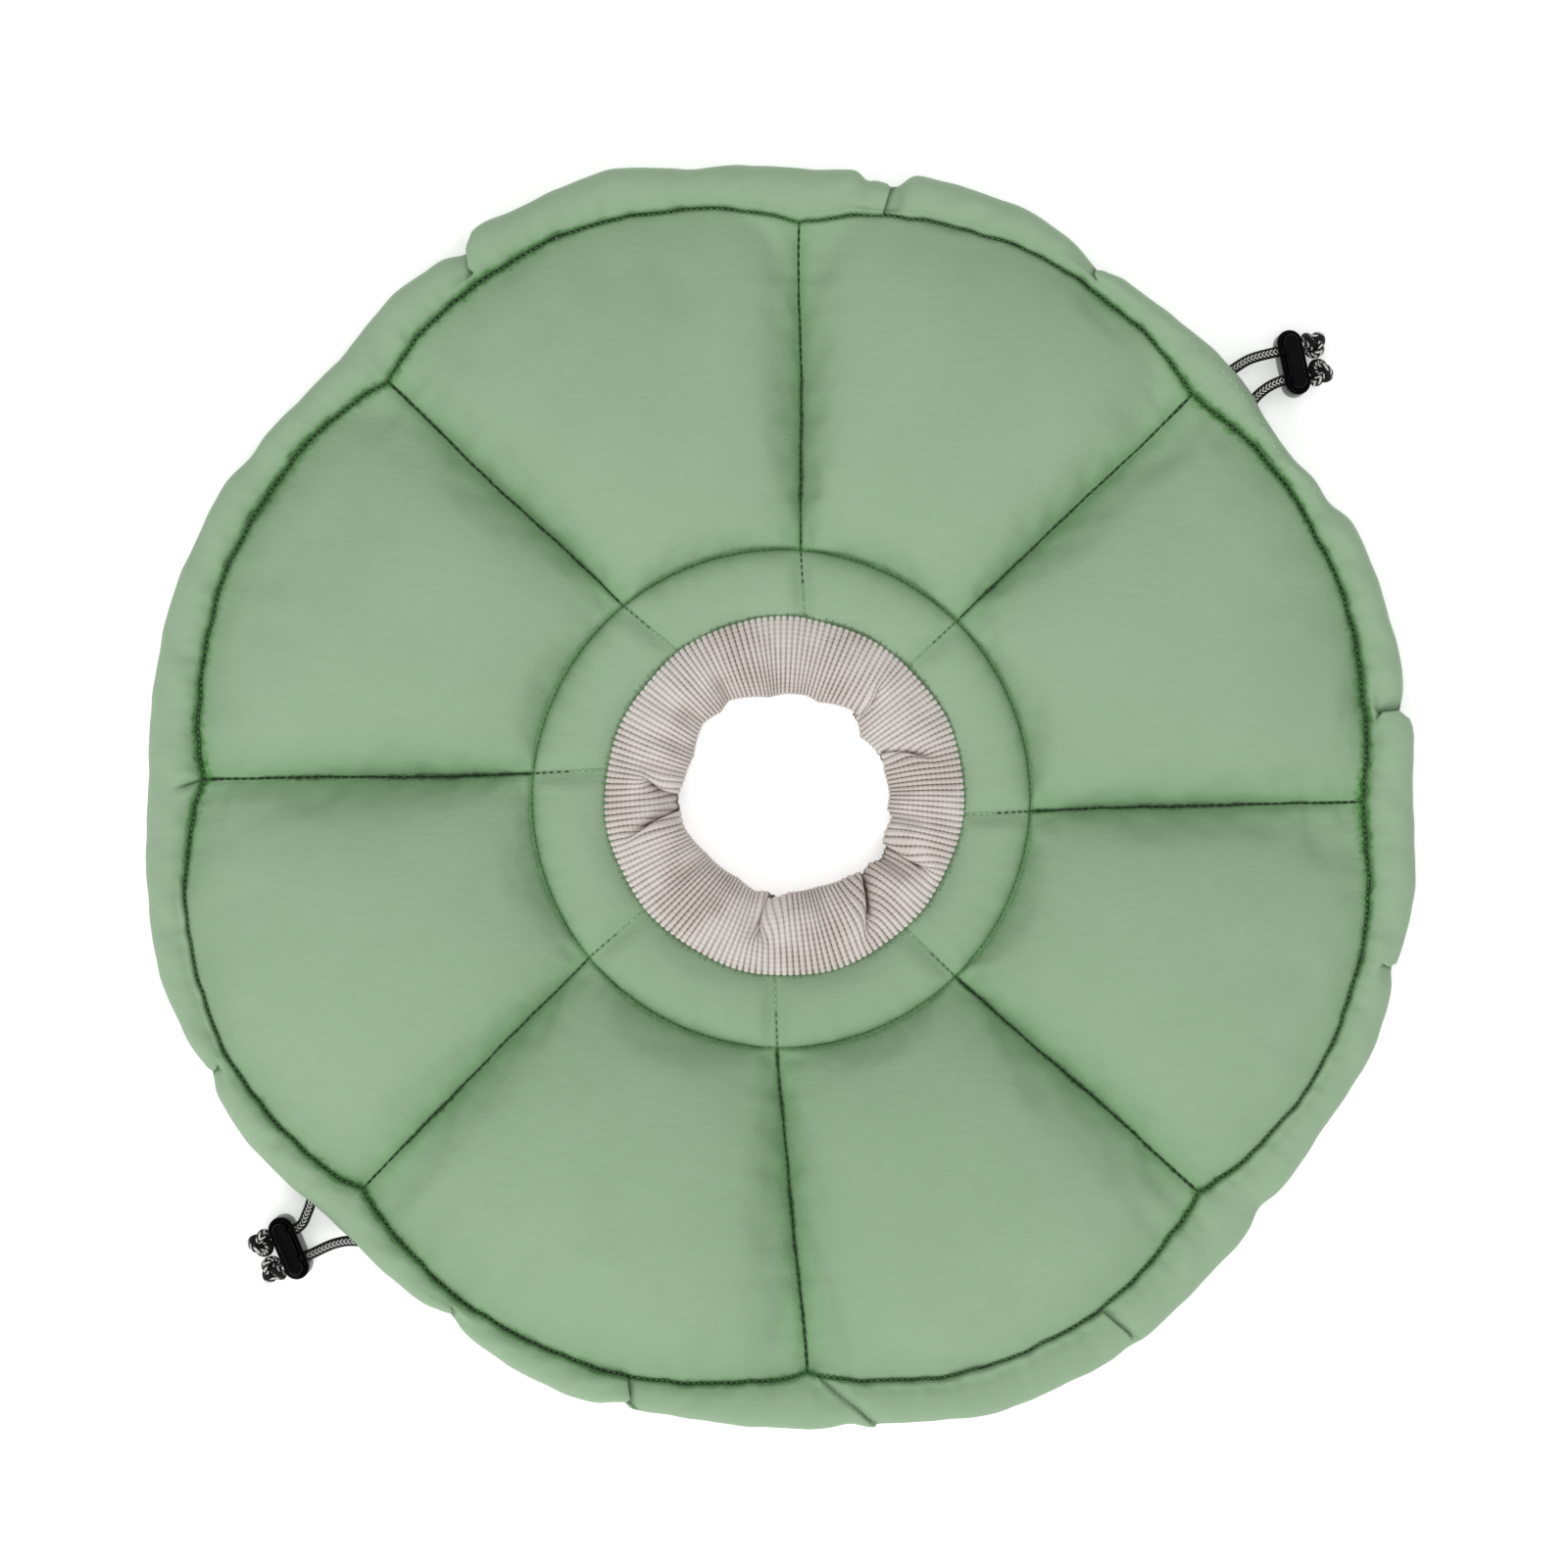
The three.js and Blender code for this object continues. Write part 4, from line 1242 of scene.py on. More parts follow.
@dataclass
class NeckCuff:
    """The folded rib-knit cuff, gathered round the neck."""

    plan: Plan
    finish: RibKnit
    thickness: float = 0.0112
    edge_height: float = 0.006
    opening_radius: float = 0.02525
    ribs: int = 174
    lines_a_rib: int = 6
    section: int = 72
    rib_height: float = 0.0004
    widest: float = 0.62
    rise: float = 0.0019
    lap: float = 0.0004
    serration: float = 0.0003
    inward: float = 0.016
    lowest: float = 0.0003
    opening: tuple[tuple[float, float], ...] = (
        (1, 25.7), (14, 25.1), (21, 25.9), (38, 23.5), (50, 27.0), (70, 24.4), (78, 25.2), (90, 25.0),
        (99, 24.4), (120, 27.0), (127, 25.7), (138, 26.7), (156, 24.2), (171, 24.8), (177, 26.3),
        (188, 25.7), (197, 25.6), (216, 23.6), (241, 22.9), (253, 24.3), (257, 23.7), (264, 25.7),
        (273, 23.5), (291, 23.6), (306, 24.9), (314, 27.2), (322, 26.5), (327, 28.3), (343, 26.0),
        (349, 26.7), (353, 25.3),
    )
    gathers: tuple[GatherRow, ...] = (
        GatherRow(5, 6, 0.25, 0.5), GatherRow(22, 5.5, 0.6, 0.7, -8, 1.9),
        GatherRow(49, 4.5, 0.5, 0.6, 0, -1.5), GatherRow(78, 6, 0.15, 0.4),
        GatherRow(120, 5, 0.45, 0.6, -2), GatherRow(138, 5, 0.45, 0.6, 2),
        GatherRow(152, 4, 0.25, 0.8, 3), GatherRow(166, 4, 0.3, 0.8, -2),
        GatherRow(177, 4.5, 0.65, 0.6, -5, 2.0), GatherRow(190, 5, 0.5, 0.9, 6, -1.7),
        GatherRow(216, 5, 0.35, 0.75, 3), GatherRow(236, 5, 0.2, 0.7, 2),
        GatherRow(264, 5, 0.8, 0.65, -5, -2.3), GatherRow(291, 6, 0.15, 0.3),
        GatherRow(312, 5, 0.75, 0.9, -13, 2.4), GatherRow(326, 4, 0.45, 0.6),
        GatherRow(338, 5, 0.7, 0.97, -6, -2.4), GatherRow(350, 5, 0.4, 0.6),
    )

    def section_lines(self, j: Array) -> tuple[Array, Array, Array]:
        """Works out the section's lines.

        Args:
            j: The lines' numbers, from the neck seam over the top.

        Returns:
            Each line's share of the way to the inner edge, its side (1 top, -1 underside) and its fullness.
        """
        turn = 2.0 * math.pi * np.mod(j, self.section) / self.section
        across = (0.5 - 0.5 * np.cos(turn)) ** 0.8
        wide = self.widest
        rising = 0.4 + 0.6 * np.clip(1.0 - (1.0 - across / wide) ** 2.0, 0.0, 1.0)
        falling = np.sqrt(np.clip(1.0 - np.abs((across - wide) / (1.0 - wide)) ** 2.2, 0.0, 1.0))
        return across, np.sign(np.sin(turn) + TINY), np.where(across < wide, rising, falling)

    def uv(self, i: Array, j: Array) -> Array:
        """Counts the ribs and measures along them.

        Args:
            i: Grid lines round the ring.
            j: Grid lines round the section.

        Returns:
            The UV map.
        """
        across, side, full = self.section_lines(np.arange(self.section))
        width = self.plan.neck_radius - self.opening_radius
        outline = np.column_stack([across * width, side * full * self.thickness / 2.0])
        outline = np.concatenate([outline, outline[:1]])
        lengths = np.concatenate([[0.0], np.cumsum(np.linalg.norm(np.diff(outline, axis=0), axis=1))])
        return np.column_stack([i / self.lines_a_rib, lengths[j.astype(int)]])

    def place(self, i: Array, j: Array) -> tuple[Array, Marks]:
        """Works out the cuff's points.

        Args:
            i: Grid lines round the ring.
            j: Grid lines round the section, from the neck seam over the top.

        Returns:
            The points and their numbers.
        """
        plan = self.plan
        around = self.ribs * self.lines_a_rib
        bearing = 360.0 * np.mod(i, around) / around
        across, side, full = self.section_lines(j)
        gather, shift, lift, fold_shade = np.zeros((4, len(i)))
        angle = np.radians(bearing)
        waves = ((5, 0.3, 0.6), (9, 1.7, 0.5), (14, 4.1, 0.4), (23, 2.2, 0.25))
        drawn = 1.1 * ripples(angle, waves) * across
        teeth = np.abs(np.sin(0.5 * self.ribs * angle)) + ripples(angle, ((4, 0.8, 0.7), (11, 3.0, 0.6)))
        outer = plan.neck_radius + self.lap + self.serration * teeth * (side > 0.0)
        for row in self.gathers:
            leant = turn_from(bearing, row.at) - row.bend * (1.0 - across) / max(row.run, 0.3)
            strength = smoothstep(1.0 - row.run, 1.0 - 0.35 * row.run, across)
            gather = gather + row.depth * strength * hill(leant, row.width)
            pull = 0.55 * row.depth * smoothstep(0.05, 1.0, across)
            drawn = drawn - pull * leant * hill(leant, 1.8 * row.width)
            # Painted shade down the middle of each gather.
            fold_shade = np.maximum(fold_shade, 1.1 * row.depth * strength * hill(leant, 0.42 * row.width))
            if row.tuck:
                metres = leant * math.radians(1.0) * (plan.neck_radius - self.inward * across)
                half = abs(row.tuck) * MM
                over = -np.sign(row.tuck) * np.tanh(metres / (0.5 * half))
                shift = shift - 2.2 * metres * hill(metres, half) * strength
                lift = lift + over * hill(metres, 3.0 * half) * self.rise * strength
                under = metres - 1.05 * half * np.sign(row.tuck)
                # Painted shade on the knit that doubles under where a gather overlaps.
                fold_shade = np.maximum(fold_shade, hill(under, 0.34 * half) * strength)
        inner = ring_table(self.opening, bearing + drawn, False) * MM
        middle = plan.neck_height + (self.edge_height - plan.neck_height) * across
        plump = 1.0 + 0.07 * ripples(angle, ((11, 1.4, 0.7), (17, 0.4, 1.0), (29, 2.0, 1.0)))
        half = self.thickness / 2.0 * full * plump * (1.0 - np.clip(gather, 0.0, 0.8))
        proud = self.rib_height * (np.abs(np.sin(0.5 * self.ribs * angle)) ** 0.7 - 0.6)
        height = middle + side * (half + proud * np.sqrt(full)) + lift * (side > 0.0)
        reach = outer + (inner - outer) * across - proud * smoothstep(0.75, 1.0, across)
        outward = direction(bearing + drawn)
        flat = outward * reach[:, None] + sideways(outward) * shift[:, None] + np.array(plan.neck_centre)
        # The whole underside also gets some painted shade.
        marks = {"fold_shade": np.maximum(fold_shade, 0.35 * (side < 0.0))}
        return np.column_stack([flat, np.maximum(height, self.lowest)]), marks

    def build(self) -> bpy.types.Object:
        """Builds and dresses the cuff.

        Returns:
            The cuff.
        """
        shape = skin(self.ribs * self.lines_a_rib, self.section, self.place, self.uv)
        cuff = piece_from("rib_knit_cuff", shape, self.finish.material())
        hand_over(cuff, Body.COLLAR, Slot.KNIT, "neck_cuff")
        return cuff


@dataclass(frozen=True)
class LockPlace:
    """Where a cord lock stands: the bearing of its place on the rim, how far out from the outer radius it
    is, and how far its holes are turned from pointing straight out."""

    name: str
    bearing: float
    out: float
    turn: float
    body: Body

    def by_rim(self, plan: Plan, out: float, along: float) -> Array:
        """Returns a point given by its distances out and along from the lock's place on the rim."""
        outward = direction(np.array(self.bearing))
        return outward * (plan.outer_radius + out) + sideways(outward) * along

    def heading(self) -> float:
        """Returns the bearing that the lock's cord holes point in."""
        return self.bearing + self.turn

    def through(self, plan: Plan, side: int, distance: float) -> Array:
        """Finds a point in line with one of the lock's holes.

        Args:
            plan: The collar's plan.
            side: Which hole, 1 or -1.
            distance: How far out it is from the lock's middle.

        Returns:
            The point in the disc's plane.
        """
        outward = direction(np.array(self.heading()))
        beside = sideways(outward) * side * HOLE_SPACING / 2.0
        return self.by_rim(plan, self.out, 0.0) + beside + outward * distance


NE_LOCK = LockPlace("ne", 40.4, 0.0092, -28.2, Body.NE_PLUNGER)
SW_LOCK = LockPlace("sw", 222.4, 0.0076, -19.2, Body.SW_PLUNGER)


@dataclass(frozen=True)
class Lead:
    """A cord's way from a lock into the casing: the lock's hole, and points out and along from its place, in
    millimetres."""

    lock: LockPlace
    side: int
    points: tuple[tuple[float, float], ...]


@dataclass
class Drawcord:
    """A drawcord from knot to knot: out of one lock, half way round the casing and into the other lock."""

    plan: Plan
    name: str
    start: Lead
    run: tuple[tuple[float, float], ...]
    finish: Lead
    diameter: float = 0.0026
    sides: int = 12
    steps: int = 14
    lead_in: float = 0.0037
    knot_reach: float = 0.0034

    def lead(self, end: Lead) -> list[Array]:
        """Lists the points of one end.

        Args:
            end: The cord's way at that end.

        Returns:
            The points in the disc's plane, from the knot inwards.
        """
        straight = [end.lock.through(self.plan, end.side, far) for far in (self.knot_reach, -self.lead_in)]
        return straight + [end.lock.by_rim(self.plan, out * MM, along * MM) for out, along in end.points]

    def route(self) -> Array:
        """Works out the cord's centreline.

        Returns:
            Its points.
        """
        middle = [direction(np.array(bearing)) * share * self.plan.outer_radius
                  for bearing, share in self.run]
        flat = np.array([*self.lead(self.start), *middle, *reversed(self.lead(self.finish))])
        return spline(np.column_stack([flat, np.full(len(flat), self.plan.rim_height)]), self.steps)

    def build(self, braid: bpy.types.Material, knot_braid: bpy.types.Material) -> None:
        """Args:
            braid: The cord's braid.
            knot_braid: The braid as it shows in the knots.
        """
        points = self.route()
        cord = piece_from(f"{self.name}_braid", tube(points, self.diameter / 2.0, self.sides), braid)
        hand_over(cord, Body.COLLAR, Slot.CORD, self.name)
        knots = [StopperKnot(end.lock, end.side, self.plan).build(knot_braid)
                 for end in (self.start, self.finish)]
        out, along = self.start.points[0]
        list(self.start.lock.by_rim(self.plan, out * MM, along * MM))


@dataclass
class StopperKnot:
    """A tight overhand knot at a cord's end."""

    lock: LockPlace
    side: int
    plan: Plan
    distance: float = 0.0061
    lobe: float = 0.00084
    cord_radius: float = 0.00122
    steps: int = 90
    sides: int = 10
    squash: float = 0.88
    twist: float = 17.0
    tip: float = 24.0

    def build(self, material: bpy.types.Material) -> bpy.types.Object:
        """Builds the knot.

        Args:
            material: Its braid.

        Returns:
            The knot.
        """
        turns = np.linspace(0.0, 2.0 * math.pi, self.steps, endpoint=False)
        path = self.lobe * np.stack([
            np.sin(turns) + 2.0 * np.sin(2.0 * turns),
            (np.cos(turns) - 2.0 * np.cos(2.0 * turns)) * self.squash,
            -1.25 * np.sin(3.0 * turns),
        ], axis=-1)
        shape = tube(np.concatenate([path, path[:2]]), self.cord_radius, self.sides)
        middle = self.lock.through(self.plan, self.side, self.distance)
        spin = Matrix.Rotation(math.radians(self.lock.heading() + 90.0 + self.twist * self.side), 4, "Z")
        roll = Matrix.Rotation(math.radians(self.tip * self.side), 4, "X")
        bmesh.ops.transform(shape, verts=shape.verts, matrix=spin @ roll)
        bmesh.ops.translate(shape, verts=shape.verts, vec=(*middle, self.plan.rim_height))
        node = f"knot_{self.lock.name}_{'left' if self.side > 0 else 'right'}"
        knot = piece_from(f"{node}_braid", shape, material)
        hand_over(knot, Body.COLLAR, Slot.CORD, node)
        return knot


@dataclass
class CordLock:
    """A twin-hole spring cord lock, standing on its foot with its button up."""

    place: LockPlace
    plan: Plan
    length: float = 0.016
    width: float = 0.0062
    height: float = 0.0106
    lift: float = 0.0001
    wall: float = 0.00105
    floor: float = 0.0012
    clearance: float = 0.0003
    hole_radius: float = 0.00165
    standing: float = 0.003
    foot: float = 0.0013
    travel: float = 0.002
    housing_edge: float = 0.0009
    button_edge: float = 0.0007
    soft_edge: float = 0.00012
    round_segments: int = 40
    edge_segments: int = 4

    def bar(self, length: float, width: float, low: float, high: float,
            edge: float = 0.0) -> bmesh.types.BMesh:
        """Builds a round-ended bar along x.

        Args:
            length: Its length.
            width: Its width.
            low: The height of its foot.
            high: The height of its top.
            edge: The radius of its top and bottom edges.

        Returns:
            The bar.
        """
        bar = bmesh.new()
        bmesh.ops.create_circle(bar, cap_ends=True, segments=self.round_segments, radius=width / 2.0)
        for vert in bar.verts:
            vert.co.x += math.copysign(length / 2.0 - width / 2.0, vert.co.x + SPECK)
            vert.co.z = low
        raised = bmesh.ops.extrude_face_region(bar, geom=bar.faces[:])["geom"]
        lifted = [item for item in raised if isinstance(item, bmesh.types.BMVert)]
        bmesh.ops.translate(bar, verts=lifted, vec=(0.0, 0.0, high - low))
        bmesh.ops.recalc_face_normals(bar, faces=bar.faces)
        if edge:
            level = [item for item in bar.edges if abs(item.verts[0].co.z - item.verts[1].co.z) < SPECK]
            bmesh.ops.bevel(bar, geom=level, offset=edge, segments=self.edge_segments, profile=0.5,
                            affect="EDGES", material=-1)
        return bar

    def cut(self, shape: bmesh.types.BMesh, material: bpy.types.Material, name: str,
            tools: Sequence[bmesh.types.BMesh]) -> bpy.types.Object:
        """Cuts tools out of a shape and stands the result in its place.

        Args:
            shape: What is cut.
            material: The piece's material.
            name: The piece's name.
            tools: What is taken away.

        Returns:
            The piece.
        """
        piece = piece_from(name, shape, material)
        for tool in tools:
            cutter = piece_from(f"{name}_cutter", tool, material)
            modifier = piece.modifiers.new("cut", "BOOLEAN")
            modifier.operation = "DIFFERENCE"
            modifier.solver = "EXACT"
            modifier.object = cutter
            apply_modifiers(piece)
            bpy.data.objects.remove(cutter)
        stand = bmesh.new()
        stand.from_mesh(piece.data)
        spin = Matrix.Rotation(math.radians(self.place.heading() - 90.0), 4, "Z")
        shift = Matrix.Translation((*self.place.by_rim(self.plan, self.place.out, 0.0), self.lift))
        bmesh.ops.transform(stand, verts=stand.verts, matrix=shift @ spin)
        stand.to_mesh(piece.data)
        stand.free()
        piece.data.shade_smooth()
        edges = piece.modifiers.new("soft edges", "BEVEL")
        edges.width = self.soft_edge
        edges.segments = 2
        edges.limit_method = "ANGLE"
        edges.angle_limit = math.radians(50.0)
        edges.harden_normals = True
        return piece

    def hole(self, side: int, slot: float) -> bmesh.types.BMesh:
        """Builds the cutter of a cord hole.

        Args:
            side: Which of the two holes.
            slot: How much taller than round it is.

        Returns:
            The cutter.
        """
        across = 2.0 * self.hole_radius
        hole = self.bar(across + slot, across, -self.width, self.width)
        bmesh.ops.translate(hole, verts=hole.verts, vec=(slot / 2.0, 0.0, 0.0))
        stand_up = Matrix.Rotation(math.radians(90.0), 4, "X") @ Matrix.Rotation(math.radians(90.0), 4, "Z")
        bmesh.ops.transform(hole, verts=hole.verts, matrix=stand_up)
        centre = (side * HOLE_SPACING / 2.0, 0.0, self.plan.rim_height - self.lift)
        bmesh.ops.translate(hole, verts=hole.verts, vec=centre)
        return hole

    def build(self, housing_finish: bpy.types.Material, plunger_finish: bpy.types.Material) -> None:
        """Builds the housing and the plunger.

        Args:
            housing_finish: The housing's plastic.
            plunger_finish: The plunger's plastic.
        """
        name = self.place.name
        body = self.bar(self.length, self.width, 0.0, self.height, self.housing_edge)
        inside = 2.0 * self.wall
        hollow = self.bar(self.length - inside, self.width - inside, self.floor, 2.0 * self.height)
        holes = [self.hole(side, 0.0) for side in (-1, 1)]
        housing = self.cut(body, housing_finish, f"cord_lock_{name}_housing", [hollow, *holes])
        hand_over(housing, Body.COLLAR, Slot.HOUSING, f"lock_{name}_housing")
        inset = 2.0 * (self.wall + self.clearance)
        low = self.plan.rim_height - self.lift - self.hole_radius - self.foot
        top = self.height + self.standing
        button = self.bar(self.length - inset, self.width - inset, low, top, self.button_edge)
        slots = [self.hole(side, self.travel) for side in (-1, 1)]
        plunger = self.cut(button, plunger_finish, f"cord_lock_{name}_plunger", slots)
        hand_over(plunger, self.place.body, Slot.PLUNGER, f"lock_{name}_plunger")


class Stitch(NamedTuple):
    """A kind of stitch: the distance from one to the next, its length, the thread's width, and how far its
    middle lies above the cloth."""

    pitch: float
    length: float
    width: float
    proud: float = 0.0


class Stitching:
    """Rows of stitches in one thread, joined into one piece. They drop onto the cloths from above, or to the
    rim seam's height where there is no cloth."""

    drop_height = 0.1
    bare_height = Plan.rim_height

    def __init__(self, name: str, thread: SewingThread, cloths: Sequence[bpy.types.Object]) -> None:
        """Starts a thread's stitches.

        Args:
            name: The piece's name.
            thread: The thread.
            cloths: The pieces that the stitches lie on.
        """
        self.name = name
        self.thread = thread
        graph = bpy.context.evaluated_depsgraph_get()
        self.trees = [BVHTree.FromObject(cloth, graph) for cloth in cloths]
        self.ends: list[tuple[Array, Array, float]] = []

    def drop(self, point: Array) -> Array:
        """Finds where a point of the disc's plane meets the highest of the cloths.

        Args:
            point: The point.

        Returns:
            The place on the cloth.
        """
        start, down = Vector((*point, self.drop_height)), Vector((0.0, 0.0, -1.0))
        hits = [tree.ray_cast(start, down)[0] for tree in self.trees]
        return np.array([*point, max((hit.z for hit in hits if hit is not None), default=self.bare_height)])

    def tack(self, start: Array, end: Array, width: float, proud: float = 0.0) -> None:
        """Sews one stitch between two points of the disc's plane."""
        rise = np.array([0.0, 0.0, proud])
        self.ends.append((self.drop(start) + rise, self.drop(end) + rise, width))

    def sew(self, line: Array, stitch: Stitch) -> None:
        """Sews one row.

        Args:
            line: The points in the disc's plane that it follows.
            stitch: The kind of stitch.
        """
        travelled = np.concatenate([[0.0], np.cumsum(np.linalg.norm(np.diff(line, axis=0), axis=1))])
        count = max(1, int(travelled[-1] / stitch.pitch))
        for number in range(count):
            middle = (number + 0.5 + 0.12 * math.sin(5.3 * number)) * travelled[-1] / count
            stops = [middle + half * stitch.length for half in (-0.5, 0.5)]
            spots = [np.array([np.interp(stop, travelled, line[:, axis]) for axis in (0, 1)])
                     for stop in stops]
            self.tack(*spots, stitch.width, stitch.proud)

    def build(self, slot: Slot) -> bpy.types.Object:
        """Builds the stitches.

        Args:
            slot: The record's slot.

        Returns:
            The piece.
        """
        shape = bmesh.new()
        bmesh.ops.create_uvsphere(shape, u_segments=6, v_segments=5, radius=1.0)
        piece = piece_from(self.name, shape, self.thread.material())
        ball = numbers_of(piece.data.vertices, "co", 3)
        row = piece.modifiers.new("row", "ARRAY")
        row.count = len(self.ends)
        row.use_relative_offset = False
        apply_modifiers(piece)
        starts, ends = (np.array([pair[k] for pair in self.ends]) for k in (0, 1))
        along = unit(ends - starts)
        across = unit(np.cross(along, [0.0, 0.0, 1.0]))
        axes = np.stack([across, np.cross(along, across), along], axis=1)
        width = np.array([pair[2] for pair in self.ends]) / 2.0
        sizes = np.stack([width, width, np.linalg.norm(ends - starts, axis=1) / 2.0], axis=-1)
        spread = np.einsum("vk,nk,nkx->nvx", ball, sizes, axes) + ((starts + ends) / 2.0)[:, None, :]
        set_coordinates(piece.data, spread.reshape(-1, 3))
        hand_over(piece, Body.COLLAR, slot)
        return piece


@dataclass
class Seams:
    """The stitching that shows on the collar."""

    plan: Plan
    cuff: NeckCuff
    cloths: Sequence[bpy.types.Object]
    bold_band_seams: tuple[int, ...] = (0, 2, 4)
    petal_stitch: Stitch = Stitch(0.0019, 0.0014, 0.00065, 0.0001)
    band_stitch: Stitch = Stitch(0.00152, 0.0011, 0.0004, 0.0001)
    inner_stitch: Stitch = Stitch(0.00152, 0.0009, 0.00032, 0.00008)
    ring_stitch: Stitch = Stitch(0.00152, 0.001, 0.0005, 0.0003)
    rim_stitch: Stitch = Stitch(0.00152, 0.0011, 0.0006, 0.0009)
    rim_inset: float = 0.0002
    petal_points: int = 60
    band_points: int = 24
    round_points: int = 1441
    hem_points: int = 60
    neck_length: float = 0.0016
    neck_spread: float = 0.0004
    neck_width: float = 0.0003
    neck_proud: float = 0.00008
    hem: tuple[float, float] = (29.0, 50.0)
    hem_inset: float = 0.0026
    hem_stitch: Stitch = Stitch(0.0024, 0.0013, 0.00028)
    dark: Colour = (0.010, 0.028, 0.008)
    green: Colour = (0.066, 0.178, 0.052)
    leaf: Colour = (0.120, 0.270, 0.100)
    pale: Colour = (0.46, 0.62, 0.43)

    def radial(self, wedge: int, seam: str, count: int) -> Array:
        """Finds the points of a radial seam from the ring seam to the rim or neck seam.

        Args:
            wedge: The seam's number.
            seam: The seam that it ends on.
            count: How many points.

        Returns:
            The points in the disc's plane.
        """
        share = np.linspace(0.015, 0.985, count)
        places = np.full(count, float(wedge))
        low, high = self.plan.at("ring", places), self.plan.at(seam, places)
        stray = self.plan.sway(places, share) * (seam == "rim")
        return low + (high - low) * share[:, None] + sideways(unit(high - low)) * stray[:, None]

    def build(self) -> None:
        """Sews every seam."""
        plan = self.plan
        dark = Stitching("seam_stitches", SewingThread("dark_green_thread", self.dark), self.cloths)
        green = Stitching("rim_stitches", SewingThread("green_thread", self.green), self.cloths)
        pale = Stitching("pale_stitches", SewingThread("pale_green_thread", self.pale), self.cloths)
        ticks = Stitching("neck_stitches", SewingThread("leaf_green_thread", self.leaf), self.cloths)
        for wedge in range(len(plan.seams)):
            dark.sew(self.radial(wedge, "rim", self.petal_points), self.petal_stitch)
            by_ring, by_neck = np.array_split(self.radial(wedge, "neck", self.band_points), 2)
            thread = dark if wedge in self.bold_band_seams else green
            thread.sew(by_ring, self.band_stitch)
            pale.sew(by_neck, self.inner_stitch)
        rounds = np.linspace(0.0, len(plan.seams), self.round_points)
        green.sew(plan.at("ring", rounds), self.ring_stitch)
        rim = plan.at("rim", rounds)
        green.sew(rim - self.rim_inset * unit(rim), self.rim_stitch)
        for rib in range(self.cuff.ribs):
            outward = direction(np.array(360.0 * rib / self.cuff.ribs))
            length = self.neck_length + self.neck_spread * math.sin(2.1 * rib)
            near, far = (outward * (plan.neck_radius + self.cuff.lap + shift) + np.array(plan.neck_centre)
                         for shift in (-0.35 * length, 0.65 * length))
            ticks.tack(near, far, self.neck_width, self.neck_proud)
        bearings = np.linspace(*self.hem, self.hem_points)
        edge = plan.outer_radius * ring_table(RimCasing.edges, bearings, True) - self.hem_inset
        pale.sew(direction(bearings) * edge[:, None], self.hem_stitch)
        dark.build(Slot.BRIM)
        green.build(Slot.BRIM)
        pale.build(Slot.CASING)
        ticks.build(Slot.BRIM)


class Lamp(NamedTuple):
    """A square soft light that points at the collar: its place, its side and its power in watts."""

    name: str
    place: Triple
    side: float
    power: float


@dataclass
class Studio:
    """The pale floor, the soft lights and the camera that looks straight down."""

    pixel: float = 0.23938e-3
    frame_pixels: int = 1600
    centre_pixel: tuple[float, float] = (797.0, 815.0)
    lens: float = 100.0
    sensor: float = 36.0
    focus_height: float = 0.008
    lamps: tuple[Lamp, ...] = (
        Lamp("key", (-0.5, -1.35, 1.15), 1.1, 16.8),
        Lamp("top", (0.2, 0.3, 1.8), 1.6, 12.4),
    )
    surroundings: float = 0.53
    floor_size: float = 3.0
    floor_height: float = -0.0002

    def camera(self) -> None:
        """Creates the camera."""
        data = bpy.data.cameras.new("camera")
        data.lens = self.lens
        data.sensor_width = self.sensor
        data.sensor_fit = "HORIZONTAL"
        data.clip_start = 0.01
        half = self.frame_pixels / 2.0
        distance = self.pixel * self.frame_pixels * self.lens / self.sensor
        camera = bpy.data.objects.new("camera", data)
        camera.location = (
            (half - self.centre_pixel[0]) * self.pixel,
            (self.centre_pixel[1] - half) * self.pixel,
            distance + self.focus_height,
        )
        bpy.context.scene.collection.objects.link(camera)
        bpy.context.scene.camera = camera

    def light(self, lamp: Lamp) -> None:
        """Hangs a light.

        Args:
            lamp: The light.
        """
        data = bpy.data.lights.new(lamp.name, "AREA")
        data.shape = "SQUARE"
        data.size = lamp.side
        data.energy = lamp.power
        hung = bpy.data.objects.new(lamp.name, data)
        hung.location = lamp.place
        hung.rotation_euler = Vector(lamp.place).to_track_quat("Z", "Y").to_euler()
        bpy.context.scene.collection.objects.link(hung)

    def build(self) -> None:
        """Builds the floor, lights and surroundings."""
        shape = bmesh.new()
        bmesh.ops.create_grid(shape, x_segments=1, y_segments=1, size=self.floor_size)
        bmesh.ops.translate(shape, verts=shape.verts, vec=(0.0, 0.0, self.floor_height))
        piece_from("studio_floor", shape, PaleFloor().material())
        for lamp in self.lamps:
            self.light(lamp)
        world = bpy.data.worlds.new("studio")
        world.use_nodes = True
        background = world.node_tree.nodes["Background"]
        background.inputs[0].default_value = (1.0, 1.0, 1.0, 1.0)
        background.inputs[1].default_value = self.surroundings
        bpy.context.scene.world = world
        bpy.context.scene.view_settings.view_transform = "Standard"


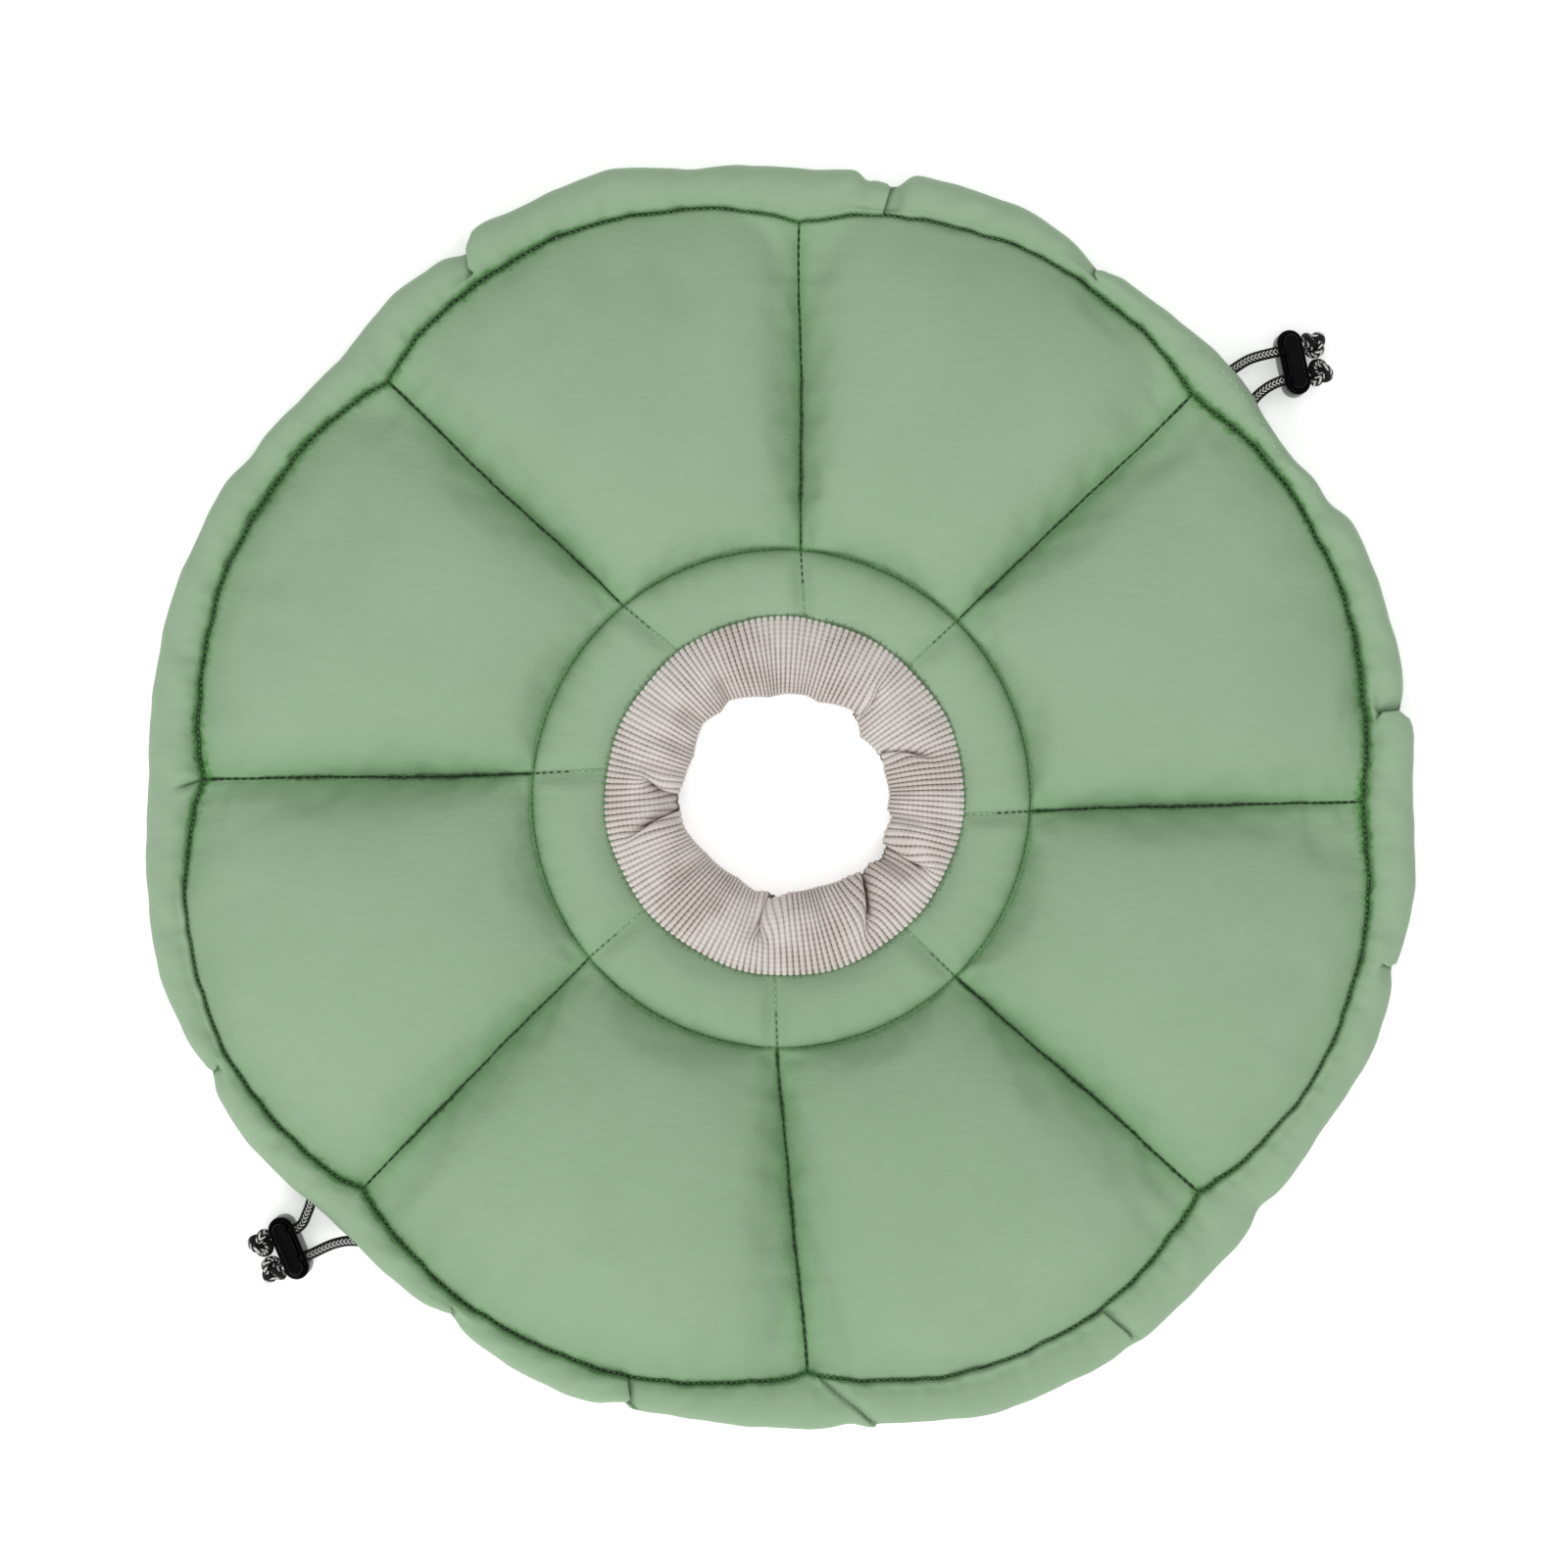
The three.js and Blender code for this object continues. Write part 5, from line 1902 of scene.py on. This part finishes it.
# The runs give bearings, and reaches as shares of the outer radius.
UPPER_LEAD = Lead(NE_LOCK, 1, ((1.8, 7.6), (-4.2, 8.6), (-8.1, 10.2), (-9.7, 14.1), (-9.4, 20)))
UPPER_RUN = (
    (58, 0.958), (69, 0.968), (81, 0.955), (93, 0.963), (105, 0.978), (116, 0.976), (127, 0.954),
    (139, 0.952), (150, 0.973), (163, 0.97), (178, 0.96), (190, 0.978), (201, 0.982), (210, 0.962),
)
UPPER_END = Lead(SW_LOCK, -1, ((-1, -3.3), (-4.8, -5.7), (-7.2, -9.6), (-7.8, -13.9)))
LOWER_LEAD = Lead(NE_LOCK, -1, ((-0.8, -0.4), (-4.8, -1.2), (-7.2, -4.6), (-8, -9.5)))
LOWER_RUN = (
    (26, 0.964), (13, 0.963), (0, 0.958), (-11, 0.971), (-22, 0.978), (-32, 0.968), (-43, 0.954),
    (-54, 0.974), (-65, 0.982), (-77, 0.966), (-89, 0.955), (-102, 0.96), (-114, 0.966), (-124, 0.956),
)
LOWER_END = Lead(SW_LOCK, 1, ((-0.7, 6.6), (-4.8, 9.3), (-7.6, 13.4), (-8.7, 19.5)))


def main() -> None:
    """Builds the camera, the cords and then every other piece."""
    logging.basicConfig(level=logging.INFO, format="%(message)s")
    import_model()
    plan = Plan()
    studio = Studio()
    studio.camera()
    braid = Braid("black_tracer_braid", 0.3).material()
    knot_braid = Braid("speckled_knot_braid", 0.5).material()
    Drawcord(plan, "drawcord_upper", UPPER_LEAD, UPPER_RUN, UPPER_END).build(braid, knot_braid)
    Drawcord(plan, "drawcord_lower", LOWER_LEAD, LOWER_RUN, LOWER_END).build(braid, knot_braid)
    housing = MouldedPlastic("gloss_black_housing").material()
    plunger = MouldedPlastic("satin_black_button", (0.0022, 0.0022, 0.0024), 0.22).material()
    for lock in (NE_LOCK, SW_LOCK):
        CordLock(lock, plan).build(housing, plunger)
    brim = QuiltedBrim(plan, Microfibre()).build()
    casing = RimCasing(plan, Microfibre("sage_microfibre_casing")).build()
    cuff = NeckCuff(plan, RibKnit())
    cuff_piece = cuff.build()
    Seams(plan, cuff, (brim, casing, cuff_piece)).build()
    studio.build()


if __name__ == "__main__":
    main()
